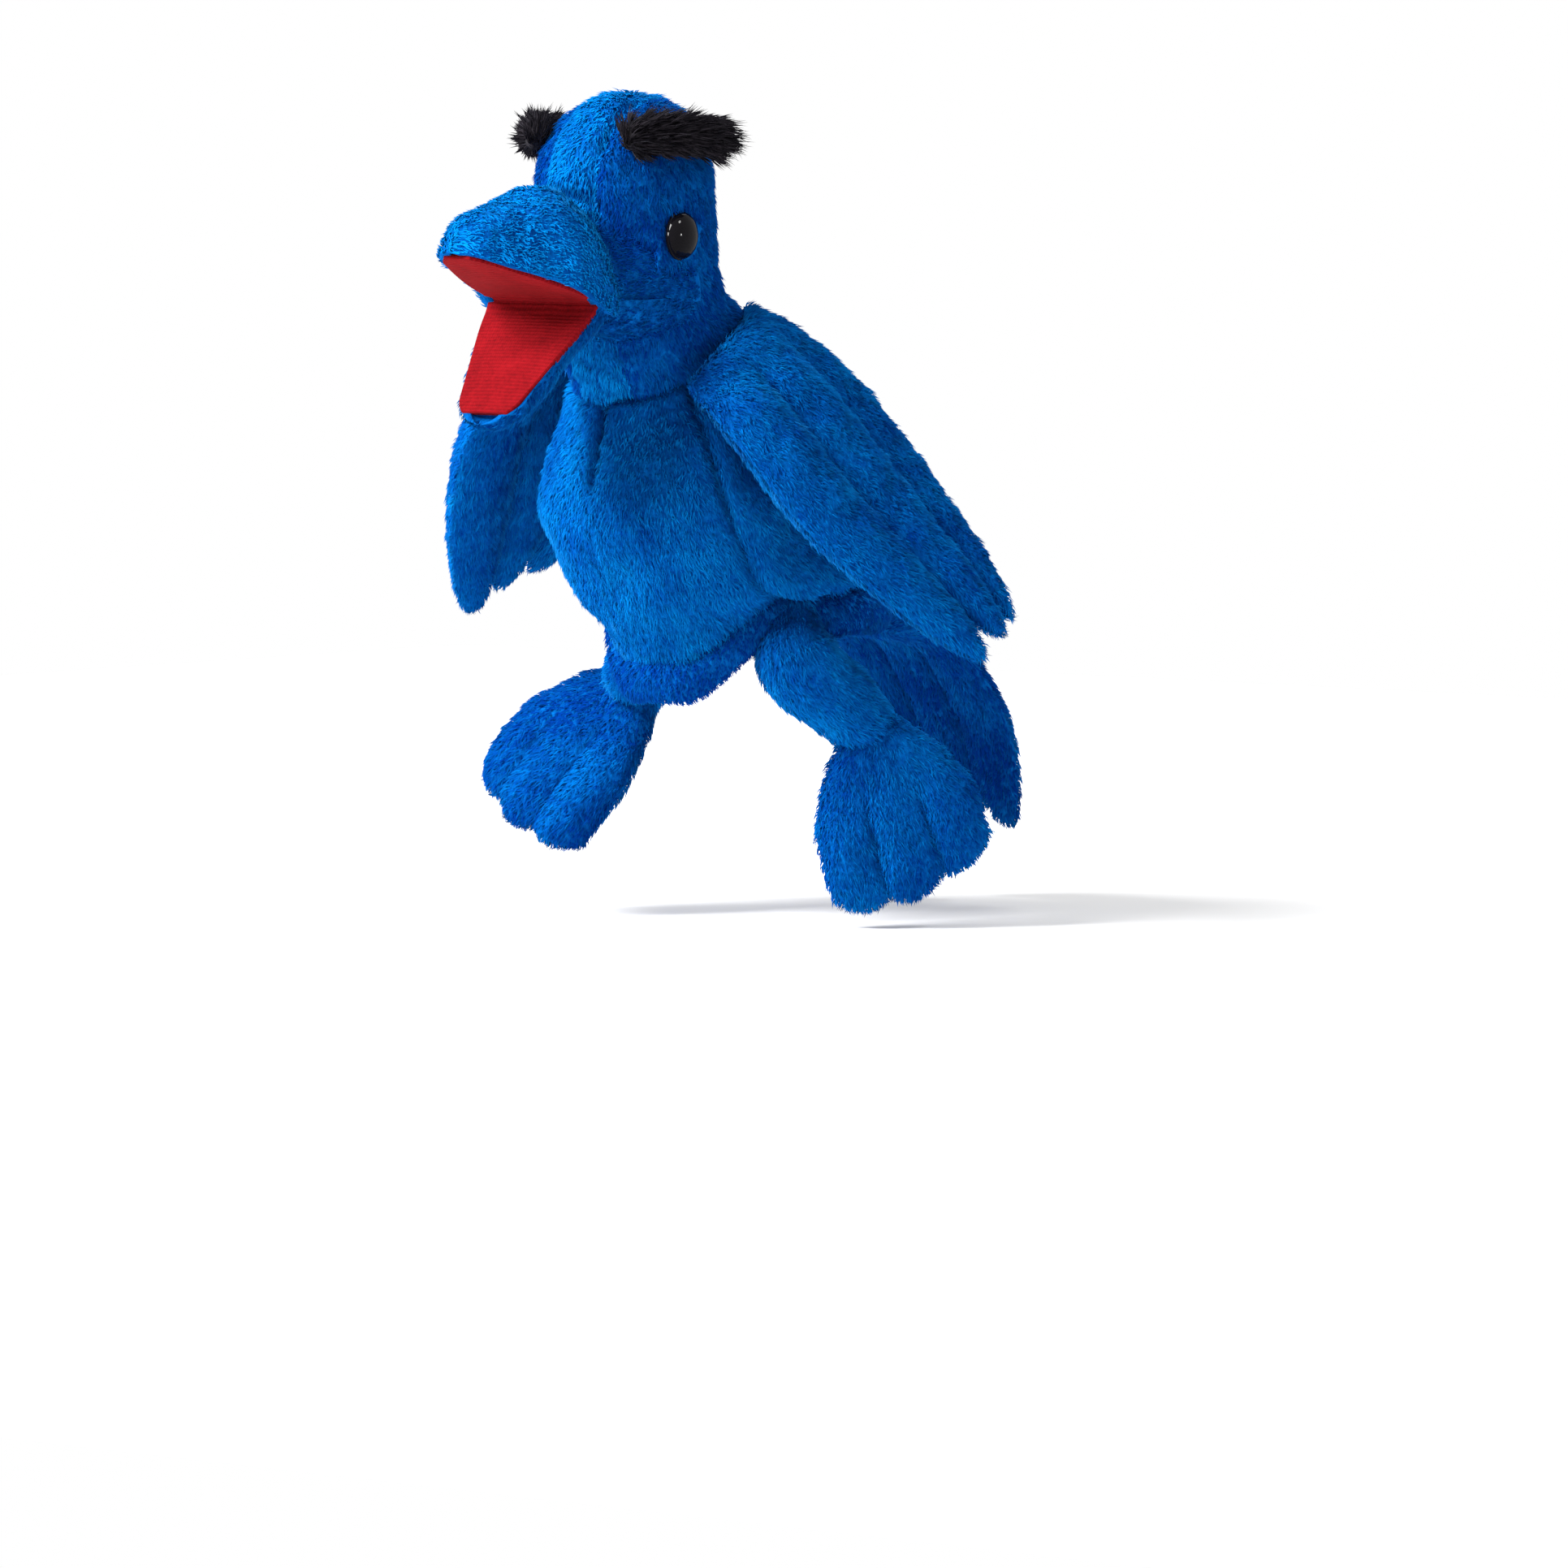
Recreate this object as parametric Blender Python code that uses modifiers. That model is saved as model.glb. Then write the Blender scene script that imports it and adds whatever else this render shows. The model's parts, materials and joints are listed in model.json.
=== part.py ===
"""A plush bird finger puppet with a moving mouth, in metres, +Z up, facing -Y, its left side at +X.

The origin is the centre of the finger opening. Lengths below are in millimetres and are scaled once,
when a mesh is made.
"""

import math

import bmesh
import bpy
import numpy as np
from mathutils import Vector

MM = 0.001
GAP = 0.3  # between pieces that touch

# Fabric and filling
PLUSH = 1.6
LINING = 0.6
FINGER_RADIUS = 9.0

# Hinges: a point on each axis
MOUTH_FOLD = (0.0, -54.0, 64.0)
WING_ROOT_FRONT = (17.0, -35.0, 49.0)
WING_ROOT_BACK = (8.5, -10.0, 65.0)
HIP = (20.5, -12.5, 0.5)
ANKLE_LEFT = (26.5, 2.0, -11.5)
ANKLE_RIGHT = (25.8, 0.1, -6.0)
TAIL_ROOT = (0.0, 30.0, 6.5)

# Body: rings from the hem to the collar, each (height, y of its centre, half width, half depth, rise to the back)
BODY_RINGS = (
    (2.0, 0.0, 23.5, 27.5, 0.1),
    (10.0, -4.0, 24.5, 27.0, 0.15),
    (20.0, -11.5, 25.5, 26.0, 0.2),
    (31.0, -18.0, 25.0, 25.0, 0.28),
    (41.0, -20.5, 22.0, 22.5, 0.38),
    (49.0, -22.8, 18.0, 18.0, 0.5),
    (54.5, -24.5, 15.4, 15.4, 0.6),
)
HEM_FRONT, HEM_BACK = -6.0, 5.5  # height of the hem's edge
HEM_HEIGHT, HEM_THICK = 6.5, 3.4
SIDE_SEAM = math.radians(-30)  # the side seams lie forward of the middle
FRONT = math.radians(-90)

# Head: rings from the neck bulb to the crown
HEAD_RINGS = (
    (50.6, -25.0, 11.8, 11.8, 0.1),
    (54.5, -25.4, 12.6, 12.6, 0.1),
    (59.0, -28.0, 13.3, 13.3, 0.1),
    (64.0, -31.0, 14.8, 14.8, 0.05),
    (71.0, -33.0, 16.0, 16.0, 0.0),
    (79.0, -33.5, 16.2, 16.2, 0.0),
    (87.5, -33.3, 15.2, 15.4, 0.0),
    (94.2, -32.6, 12.2, 12.6, 0.0),
    (98.8, -31.6, 7.2, 7.6, 0.0),
    (100.4, -31.0, 0.0, 0.0, 0.0),
)
GUSSET_HALF = 5.5

# Beak: half width and height above the lining, from the fold to the tip
UPPER_LENGTH, UPPER_PITCH = 26.8, math.radians(18)
UPPER_HALF = (12.6, 12.0, 10.6, 8.6, 6.2, 3.6)
UPPER_HEIGHT = (17.4, 17.0, 15.4, 12.8, 9.4, 5.4)
JAW_LENGTH, JAW_PITCH = 27.5, math.radians(-49)
JAW_HALF = (12.6, 11.8, 10.6, 9.3, 8.0, 6.4)
JAW_HEIGHT = (7.0, 6.9, 6.6, 6.1, 5.5, 4.6)
BOARD = 0.9

# Eyes
EYE_RADIUS, EYE_DOME = 4.1, 3.0
SHANK_RADIUS, SHANK_LENGTH = 1.2, 5.4
EYE_PLACE = (15.5, -35.0, 75.0)
EYE_TURN = math.radians(-6)  # the eyes look a little forward

# Brows: from over the beak to their loose outer ends
BROW_PATH = ((11.3, -43.9, 94.0), (15.1, -39.7, 93.6), (17.5, -34.5, 92.6), (18.9, -29.6, 91.2), (19.0, -25.2, 88.8))
BROW_RADIUS = 2.9

# Wings: leading and trailing edges of the left wing, root to tip
WING_LEADING = (WING_ROOT_FRONT, (32.0, -36.0, 41.5), (43.0, -27.0, 24.0), (58.5, -7.0, 2.5))
WING_TRAILING = (WING_ROOT_BACK, (17.5, 0.5, 52.0), (32.0, 5.5, 33.0), (55.0, 5.0, 10.0))
WING_BULGE = 5.0
WING_PAD = 2.3

# Legs and feet
LEG_RADIUS = 5.2
ANKLE_CLEAR = {"left": 4.5, "right": 6.2}  # the leg stops this far short of the ankle's hinge
FOOT_LENGTH = 33.0
FOOT_HEEL, FOOT_TOES = 6.2, 15.5  # half widths
FOOT_PAD = 2.4

# Tail
TAIL_PATH = (TAIL_ROOT, (0.0, 42.0, 2.0), (0.0, 54.5, -13.0), (0.0, 62.5, -31.5))
TAIL_HALF = (10.5, 13.5, 15.0, 12.0)
TAIL_PAD = 1.9

SIDES = (("left", 1.0), ("right", -1.0))


# ---------------------------------------------------------------------------------------------------
# Scene, collections and materials


def clear_scene():
    for thing in list(bpy.data.objects):
        bpy.data.objects.remove(thing)


def new_collection(name):
    made = bpy.data.collections.new(name)
    bpy.context.scene.collection.children.link(made)
    return made


def new_material(name, colour, roughness, metallic=0.0):
    made = bpy.data.materials.new(name)
    made.use_nodes = True
    shader = made.node_tree.nodes["Principled BSDF"]
    shader.inputs["Base Color"].default_value = (*colour, 1.0)
    shader.inputs["Roughness"].default_value = roughness
    shader.inputs["Metallic"].default_value = metallic
    return made


clear_scene()
puppet = new_collection("moving_mouth_puppet")
cutters = new_collection("cutters")
blue = new_material("blue_plush", (0.006, 0.09, 0.36), 0.95)
red = new_material("red_knit", (0.36, 0.012, 0.02), 0.95)
black_fur = new_material("black_fur", (0.012, 0.011, 0.014), 0.85)
glossy = new_material("eye_plastic", (0.006, 0.005, 0.007), 0.08)
nylon = new_material("washer_nylon", (0.75, 0.75, 0.72), 0.5)
lining = new_material("lining_cloth", (0.02, 0.05, 0.16), 0.85)
card = new_material("mouth_board", (0.42, 0.38, 0.32), 0.8)
fibre = new_material("fibre_filling", (0.8, 0.8, 0.78), 1.0)


# ---------------------------------------------------------------------------------------------------
# Smooth curves through a few points


def smooth(points, at):
    """The point at 0..1 on a Catmull-Rom curve through the points."""
    rows = np.array(points, float)
    place = min(max(at, 0.0), 1.0) * (len(rows) - 1)
    low = min(int(place), len(rows) - 2)
    step = place - low
    before = rows[low - 1] if low > 0 else 2 * rows[low] - rows[low + 1]
    after = rows[low + 2] if low + 2 < len(rows) else 2 * rows[low + 1] - rows[low]
    start, end = rows[low], rows[low + 1]
    bend = 2 * before - 5 * start + 4 * end - after
    twist = 3 * start - before - 3 * end + after
    return start + 0.5 * step * (end - before + step * (bend + step * twist))


def ease(low, high, value):
    share = min(max((value - low) / (high - low), 0.0), 1.0)
    return share * share * (3 - 2 * share)


def ring_point(rings, up, angle, inset=0.0):
    """A point on a stack of leaning ellipses, up 0..1 from the lowest ring to the highest."""
    height, centre, half, depth, rise = smooth(rings, up)
    depth, half = max(depth - inset, 0.0), max(half - inset, 0.0)
    back = depth * math.sin(angle)
    return np.array((half * math.cos(angle), centre + back, height + rise * back))


def up_at(rings, height):
    """How far up the stack its centre line has this height."""
    low, high = 0.0, 1.0
    for _ in range(30):
        middle = (low + high) / 2
        if smooth(rings, middle)[0] < height:
            low = middle
        else:
            high = middle
    return low


# ---------------------------------------------------------------------------------------------------
# Making objects


def add_mesh(name, points, faces, material, collection=puppet, pivot=(0, 0, 0)):
    """An object whose origin is at pivot, with points and pivot in millimetres."""
    mesh = bpy.data.meshes.new(name)
    centre = np.array(pivot, float)
    mesh.from_pydata([tuple((np.array(p) - centre) * MM) for p in points], [], faces)
    mesh.update()
    mesh.materials.append(material)
    mesh.shade_smooth()
    made = bpy.data.objects.new(name, mesh)
    made.location = centre * MM
    collection.objects.link(made)
    return made


def sheet(name, surface, steps, thick, material, wrap=False, tip=None, **place):
    """A sheet of quads from surface(u, v), thickened inwards. tip closes the far end with one point."""
    wide, tall = steps
    columns = wide if wrap else wide + 1
    points = [surface(i / wide, j / tall) for j in range(tall + 1) for i in range(columns)]
    faces = []
    for j in range(tall):
        for i in range(wide):
            right = (i + 1) % columns
            faces.append((j * columns + i, j * columns + right, (j + 1) * columns + right, (j + 1) * columns + i))
    if tip is not None:
        points.append(np.array(tip))
        last = tall * columns
        faces += [(last + i, last + (i + 1) % columns, len(points) - 1) for i in range(wide)]
    made = add_mesh(name, points, faces, material, **place)
    wall = made.modifiers.new("Thickness", "SOLIDIFY")
    wall.thickness = thick * MM
    wall.offset = -1.0
    wall.use_even_offset = True
    return made


def slab(name, low, high, steps, material, **place):
    """A closed solid between two surfaces of (u, v), low below high."""
    wide, tall = steps
    columns = wide + 1
    grid = [(i / wide, j / tall) for j in range(tall + 1) for i in range(columns)]
    points = [high(u, v) for u, v in grid] + [low(u, v) for u, v in grid]
    under = len(grid)
    faces = []
    for j in range(tall):
        for i in range(wide):
            a, b = j * columns + i, j * columns + i + 1
            c, d = b + columns, a + columns
            faces.append((a, b, c, d))
            faces.append((under + d, under + c, under + b, under + a))
    rim = list(range(columns))
    rim += [j * columns + wide for j in range(1, tall + 1)]
    rim += [tall * columns + i for i in range(wide - 1, -1, -1)]
    rim += [j * columns for j in range(tall - 1, 0, -1)]
    for a, b in zip(rim, rim[1:] + rim[:1]):
        faces.append((b, a, under + a, under + b))
    made = add_mesh(name, points, faces, material, **place)
    tidy_normals(made)
    return made


def tidy_normals(made):
    work = bmesh.new()
    work.from_mesh(made.data)
    bmesh.ops.remove_doubles(work, verts=work.verts, dist=0.00001)
    bmesh.ops.recalc_face_normals(work, faces=work.faces)
    work.to_mesh(made.data)
    work.free()


def tube_solid(name, outer, inner, steps, material, **place):
    """A closed ring-shaped solid between outer(angle share, up) and inner(angle share, up)."""
    around, tall = steps
    levels = [(outer, j / tall) for j in range(tall + 1)] + [(inner, 1 - j / tall) for j in range(tall + 1)]
    points = [side(i / around, up) for side, up in levels for i in range(around)]
    faces = []
    for j in range(len(levels)):
        for i in range(around):
            right, above = (i + 1) % around, (j + 1) % len(levels)
            faces.append((j * around + i, j * around + right, above * around + right, above * around + i))
    made = add_mesh(name, points, faces, material, **place)
    tidy_normals(made)
    return made


def plug(name, surface, steps, material, top, bottom, **place):
    """A closed solid of revolution-like rings, with one point at each end."""
    around, tall = steps
    points = [surface(i / around, j / tall) for j in range(tall + 1) for i in range(around)]
    points += [np.array(top), np.array(bottom)]
    faces = []
    for j in range(tall):
        for i in range(around):
            right = (i + 1) % around
            faces.append((j * around + i, j * around + right, (j + 1) * around + right, (j + 1) * around + i))
    last = tall * around
    for i in range(around):
        right = (i + 1) % around
        faces.append((last + i, last + right, len(points) - 2))
        faces.append((right, i, len(points) - 1))
    made = add_mesh(name, points, faces, material, **place)
    tidy_normals(made)
    return made


def as_cutter(made):
    made.hide_render = True
    made.display_type = "WIRE"
    return made


def box_cutter(name, low, high):
    corners = [(x, y, z) for x in (low[0], high[0]) for y in (low[1], high[1]) for z in (low[2], high[2])]
    faces = [(0, 1, 3, 2), (4, 6, 7, 5), (0, 4, 5, 1), (2, 3, 7, 6), (0, 2, 6, 4), (1, 5, 7, 3)]
    return as_cutter(add_mesh(name, corners, faces, blue, cutters))


def cut(made, cutter, operation="DIFFERENCE"):
    step = made.modifiers.new(f"{operation.title()} {cutter.name}", "BOOLEAN")
    step.operation = operation
    step.object = cutter
    step.solver = "EXACT"


def turned(name, profile, place, direction, material, collection=puppet, steps=20):
    """A turned piece: the profile's (radius, height) points run from the top of its axis down its outer side."""
    mesh = bpy.data.meshes.new(name)
    mesh.from_pydata([(r * MM, 0, h * MM) for r, h in profile], [(i, i + 1) for i in range(len(profile) - 1)], [])
    mesh.materials.append(material)
    made = bpy.data.objects.new(name, mesh)
    made.location = np.array(place) * MM
    made.rotation_mode = "QUATERNION"
    made.rotation_quaternion = direction_turn(direction)
    collection.objects.link(made)
    screw = made.modifiers.new("Turn", "SCREW")
    screw.steps = steps
    screw.render_steps = steps
    screw.use_merge_vertices = True
    screw.merge_threshold = 0.00001
    screw.use_smooth_shade = True
    return made


def direction_turn(direction):
    return Vector(direction).to_track_quat("Z", "Y")


# ---------------------------------------------------------------------------------------------------
# Body: two panels, hem, lining and filling


def hem_edge(angle):
    """Height of the hem's edge: a low apron in front, pulled up at the legs and behind."""
    from_front = abs((angle - FRONT + math.pi) % (2 * math.pi) - math.pi)
    return HEM_FRONT + (HEM_BACK - HEM_FRONT) * ease(math.radians(12), math.radians(66), from_front)


def body_skin(angle, up, inset=0.0):
    """The body's outer surface, from the top of the hem at up 0 to the collar at up 1."""
    place = ring_point(BODY_RINGS, up, angle, inset)
    foot = hem_edge(angle) + HEM_HEIGHT + GAP
    settle = 1 - ease(0.0, 0.3, up)
    place[2] += settle * (foot - ring_point(BODY_RINGS, 0.0, angle)[2])
    return place


def build_body():
    seam = GAP / 2 / 24.0
    front_span = (math.pi - SIDE_SEAM + seam, 2 * math.pi + SIDE_SEAM - seam)
    back_span = (SIDE_SEAM + seam, math.pi - SIDE_SEAM - seam)
    for name, (start, end), columns in (("body_front", front_span, 8), ("body_back", back_span, 16)):
        slab(
            name,
            lambda u, v: body_skin(start + (end - start) * u, v, PLUSH),
            lambda u, v: body_skin(start + (end - start) * u, v),
            (columns, 8),
            blue,
        )

    def hem_outer(turn, up):
        angle = 2 * math.pi * turn
        place = ring_point(BODY_RINGS, 0.0, angle, -0.4)
        place[2] = hem_edge(angle) + HEM_HEIGHT * up
        return place

    def hem_inner(turn, up):
        angle = 2 * math.pi * turn
        place = ring_point(BODY_RINGS, 0.0, angle, HEM_THICK - 0.4)
        place[2] = hem_edge(angle) + HEM_HEIGHT * up
        return place

    tube_solid("hem_band", hem_outer, hem_inner, (24, 2), blue)

    sleeve_rings = (
        (9.0, -3.0, 20.0, 22.5, 0.12),
        (15.0, -7.5, 14.5, 15.5, 0.15),
        (23.0, -12.5, 11.2, 11.4, 0.25),
        (34.0, -18.5, FINGER_RADIUS + 1.2, FINGER_RADIUS + 1.2, 0.3),
        (42.5, -21.5, FINGER_RADIUS + 0.9, FINGER_RADIUS + 0.9, 0.35),
    )

    def sleeve(turn, up, inset=0.0):
        place = ring_point(sleeve_rings, up, 2 * math.pi * turn, inset)
        lowest = hem_edge(2 * math.pi * turn) + HEM_HEIGHT + 1.0
        place[2] += (1 - ease(0.0, 0.5, up)) * (lowest - ring_point(sleeve_rings, 0.0, 2 * math.pi * turn)[2])
        return place

    sheet("finger_sleeve", sleeve, (16, 6), LINING, lining, wrap=True)

    def filling_outer(turn, up):
        place = body_skin(2 * math.pi * turn, 0.2 + 0.55 * up, PLUSH + 1.2)
        return place

    def filling_inner(turn, up):
        place = sleeve(turn, 0.36 + 0.6 * up, -0.9)
        return place

    tube_solid("body_stuffing", filling_outer, filling_inner, (16, 4), fibre)


# ---------------------------------------------------------------------------------------------------
# Head: side panels, gusset, pocket, filling


def head_skin(turn, up, inset=0.0):
    return ring_point(HEAD_RINGS, up, 2 * math.pi * turn, inset)


def head_cap(name, inset, low, material, collection=puppet, steps=(16, 8)):
    """A solid of the head's shape, shrunk by inset, from the height low up."""
    start = up_at(HEAD_RINGS, low)
    stop = 0.955
    crown = smooth(HEAD_RINGS, 1.0)
    bottom = smooth(HEAD_RINGS, start)
    return plug(
        name,
        lambda turn, up: head_skin(turn, start + (stop - start) * up, inset) - np.array((0, 0, inset * ease(0.6, 1.0, up))),
        steps,
        material,
        (0, crown[1], crown[0] - inset),
        (0, bottom[1], bottom[0]),
        collection=collection,
    )


def build_head():
    wall = PLUSH
    keep = {
        "head_side_left": ((GUSSET_HALF + GAP / 2, -80, 40), (40, 10, 120)),
        "head_side_right": ((-40, -80, 40), (-GUSSET_HALF - GAP / 2, 10, 120)),
        "crown_gusset": ((GAP / 2 - GUSSET_HALF, -80, 40), (GUSSET_HALF - GAP / 2, 10, 120)),
    }
    sockets = [eye_socket(side, sign) for side, sign in SIDES]
    crown = smooth(HEAD_RINGS, 1.0)
    for name, (low, high) in keep.items():
        panel = sheet(
            name,
            lambda u, v: head_skin(u, 0.955 * v),
            (16, 9),
            wall,
            blue,
            wrap=True,
            tip=(0, crown[1], crown[0]),
        )
        cut(panel, box_cutter(f"{name}_outline", low, high), "INTERSECT")
        if name != "crown_gusset":
            cut(panel, sockets[0] if name.endswith("left") else sockets[1])

    pocket_rings = (
        (51.6, -25.0, FINGER_RADIUS + LINING, FINGER_RADIUS + LINING, 0.1),
        (60.0, -27.6, FINGER_RADIUS + LINING, FINGER_RADIUS + LINING, 0.0),
        (74.0, -31.5, FINGER_RADIUS + LINING, FINGER_RADIUS + LINING, 0.0),
        (82.0, -32.5, 7.8, 7.8, 0.0),
        (85.5, -32.5, 3.6, 3.6, 0.0),
    )
    sheet(
        "head_pocket",
        lambda u, v: ring_point(pocket_rings, v, 2 * math.pi * u),
        (16, 7),
        LINING,
        lining,
        wrap=True,
        tip=(0, -32.5, 86.2),
    )
    filling = head_cap("head_stuffing", wall + 0.9, 64.0, fibre, steps=(16, 6))
    finger_room = plug(
        "finger_room",
        lambda u, v: ring_point(pocket_rings, v, 2 * math.pi * u, -0.7),
        (16, 7),
        blue,
        (0, -32.5, 87.4),
        (0, -25.0, 48.0),
        collection=cutters,
    )
    cut(filling, as_cutter(finger_room))
    for side, sign in SIDES:
        cut(filling, eye_room(side, sign))


# ---------------------------------------------------------------------------------------------------
# Eyes and brows


def eye_axis(sign):
    return np.array((sign * math.cos(EYE_TURN), math.sin(EYE_TURN), 0.0))


def eye_centre(sign):
    return np.array((sign * EYE_PLACE[0], EYE_PLACE[1], EYE_PLACE[2]))


def eye_socket(side, sign):
    """The flat seat of an eye in the plush, with the hole for its shank."""
    seat = EYE_RADIUS + 0.4
    hole = SHANK_RADIUS + 0.3
    profile = ((0, 6), (seat, 6), (seat, -GAP), (hole, -GAP), (hole, -6), (0, -6))
    return as_cutter(turned(f"eye_socket_{side}", profile, eye_centre(sign), eye_axis(sign), blue, cutters))


def eye_room(side, sign):
    """Room in the filling for the shank and its washer."""
    profile = ((0, 4), (6.0, 4), (6.0, -SHANK_LENGTH - 0.8), (0, -SHANK_LENGTH - 0.8))
    return as_cutter(turned(f"eye_room_{side}", profile, eye_centre(sign), eye_axis(sign), blue, cutters))


def build_eyes():
    for side, sign in SIDES:
        quarter = [math.radians(90 - 15 * k) for k in range(7)]
        dome = [(EYE_RADIUS * math.cos(a), EYE_DOME * math.sin(a)) for a in quarter]
        dome[0] = (0.0, EYE_DOME)
        shank = [(SHANK_RADIUS, 0.0), (SHANK_RADIUS, -SHANK_LENGTH), (0.0, -SHANK_LENGTH)]
        turned(f"eye_{side}", dome + shank, eye_centre(sign), eye_axis(sign), glossy)
        outer, inner = 4.6, SHANK_RADIUS + 0.1
        top, low = -PLUSH - 1.5, -PLUSH - 2.7
        rim = [(inner, top), (outer, top), (outer, low), (inner, low), (inner, top)]
        turned(f"eye_washer_{side}", rim, eye_centre(sign), eye_axis(sign), nylon)


def tube(name, path, radius, material, sides=2):
    """A round tube along a smooth path, with closed ends."""
    curve = bpy.data.curves.new(name, "CURVE")
    curve.dimensions = "3D"
    curve.bevel_depth = radius * MM
    curve.bevel_resolution = sides
    curve.use_fill_caps = True
    count = 4 * (len(path) - 1) + 1
    line = curve.splines.new("POLY")
    line.points.add(count - 1)
    for step, point in enumerate(line.points):
        point.co = (*(smooth(path, step / (count - 1)) * MM), 1.0)
    curve.materials.append(material)
    made = bpy.data.objects.new(name, curve)
    puppet.objects.link(made)
    return made


def build_brows():
    for side, sign in SIDES:
        tube(f"brow_{side}", [(sign * x, y, z) for x, y, z in BROW_PATH], BROW_RADIUS, black_fur)


# ---------------------------------------------------------------------------------------------------
# Beak and jaw: a stuffed plush cover, the red lining over a board


def half_beak(part, pitch, length, halves, heights, outward):
    """The pieces of one half of the beak. outward is +1 for the upper half, -1 for the jaw."""
    forward = np.array((0.0, -math.cos(pitch), math.sin(pitch)))
    away = np.array((0.0, forward[2], -forward[1])) * outward
    fold = np.array(MOUTH_FOLD)
    side = np.array((1.0, 0.0, 0.0))

    def tip_curve(along):
        """The outline closes as a rounded tip over the last part of its length."""
        return math.sqrt(max(1 - max((along - 0.8) / 0.2, 0.0) ** 2, 0.0))

    def place(across, along, height, inset):
        half = max(smooth([(h,) for h in halves], along)[0] * tip_curve(along) - inset, 0.05)
        return fold + forward * (1.2 + along * (length - 1.2 - inset)) + side * across * half + away * height

    def cover(u, v, inset=0.0, low=0.0):
        turn = math.pi * (1 - u) if outward > 0 else math.pi * u
        top = max(smooth([(h,) for h in heights], v)[0] * tip_curve(v) ** 0.7 - inset, 0.05)
        return place(math.cos(turn), v, low + (top - low) * math.sin(turn), inset)

    last = 0.985
    roof = sheet(f"beak_{part}_cover", lambda u, v: cover(u, last * v), (10, 8), PLUSH, blue)
    flat = (6, 5)
    palate = slab(
        f"palate_{part}",
        lambda u, v: place(2 * u - 1, 0.93 * v, 0.35, PLUSH + 0.5),
        lambda u, v: place(2 * u - 1, 0.93 * v, 0.35 + BOARD, PLUSH + 0.5),
        flat,
        red,
    )
    board_low = 0.35 + BOARD + GAP
    board = slab(
        f"mouth_board_{part}",
        lambda u, v: place(2 * u - 1, 0.9 * v, board_low, PLUSH + 1.1),
        lambda u, v: place(2 * u - 1, 0.9 * v, board_low + BOARD, PLUSH + 1.1),
        flat,
        card,
    )
    fill_low = board_low + BOARD + GAP
    filling = slab(
        "beak_stuffing" if outward > 0 else "jaw_stuffing",
        lambda u, v: place(2 * u - 1, 0.05 + 0.7 * v, fill_low, PLUSH + 2.4),
        lambda u, v: cover(u if outward > 0 else 1 - u, 0.05 + 0.7 * v, PLUSH + 1.5, fill_low + 0.3),
        flat,
        fibre,
    )
    return roof, palate, board, filling


def build_beak():
    upper = half_beak("upper", UPPER_PITCH, UPPER_LENGTH, UPPER_HALF, UPPER_HEIGHT, 1.0)
    half_beak("lower", JAW_PITCH, JAW_LENGTH, JAW_HALF, JAW_HEIGHT, -1.0)
    face = as_cutter(head_cap("face_outline", -GAP, 50.0, blue, cutters))
    for piece in upper:
        cut(piece, face)


# ---------------------------------------------------------------------------------------------------
# Quilted pieces: two plush layers with batting, stitched into fingers


def quilted(names, middle, normal, pad, steps, materials, channels, pivot):
    """Top layer, under layer and batting about a middle surface of (u across, v along)."""

    def swell(u, v):
        lobe = abs(math.sin(math.pi * channels * u)) ** 0.6
        spread = ease(0.1, 0.45, v)
        body = (1 - spread) * math.sin(math.pi * u) ** 0.5 + spread * lobe
        return pad * body * math.sin(math.pi * min(max(v, 0.0), 1.0)) ** 0.35

    def at(u, v, height):
        return middle(u, v) + normal(u, v) * height

    half = GAP / 2
    top, under, batting = names
    blue_cloth, filler = materials
    slab(top, lambda u, v: at(u, v, half + swell(u, v)), lambda u, v: at(u, v, half + PLUSH + swell(u, v)), steps,
         blue_cloth, pivot=pivot)
    slab(under, lambda u, v: at(u, v, -half - PLUSH - swell(u, v)), lambda u, v: at(u, v, -half - swell(u, v)), steps,
         blue_cloth, pivot=pivot)

    wide, tall = steps

    def core(u, v, sign):
        """The batting stops one step short of every edge."""
        u, v = (1 + (wide - 2) * u) / wide, (1 + (tall - 2) * v) / tall
        return at(u, v, sign * max(swell(u, v) - 0.85, 0.06))

    slab(batting, lambda u, v: core(u, v, -1), lambda u, v: core(u, v, 1), (wide - 2, tall - 2), filler, pivot=pivot)


def unit(vector):
    return vector / np.linalg.norm(vector)


def surface_normal(middle, flip):
    def normal(u, v):
        step = 0.01
        across = middle(u + step, v) - middle(u - step, v)
        along = middle(u, v + step) - middle(u, v - step)
        return unit(np.cross(across, along)) * flip

    return normal


def scallop(u, count, depth):
    """How much shorter the piece is between its fingers."""
    return 1 - depth * (1 - abs(math.sin(math.pi * count * u)) ** 0.7)


def build_wings():
    for side, sign in SIDES:

        def middle(u, v):
            """Across from the leading edge to the trailing edge, along from the root to the tip."""
            reach = v * scallop(min(max(u, 0.0), 1.0), 3, 0.16 * ease(0.3, 1.0, v))
            front, back = smooth(WING_LEADING, reach), smooth(WING_TRAILING, reach)
            place = front + (back - front) * u
            place += np.array((0.8, 0.2, 0.55)) * WING_BULGE * math.sin(math.pi * u) * (1 - 0.5 * v)
            return place * np.array((sign, 1, 1))

        quilted(
            (f"wing_{side}_top", f"wing_{side}_under", f"wing_{side}_batting"),
            middle,
            surface_normal(middle, -sign),
            WING_PAD,
            (9, 6),
            (blue, fibre),
            3,
            np.array(WING_ROOT_FRONT) * np.array((sign, 1, 1)),
        )


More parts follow.
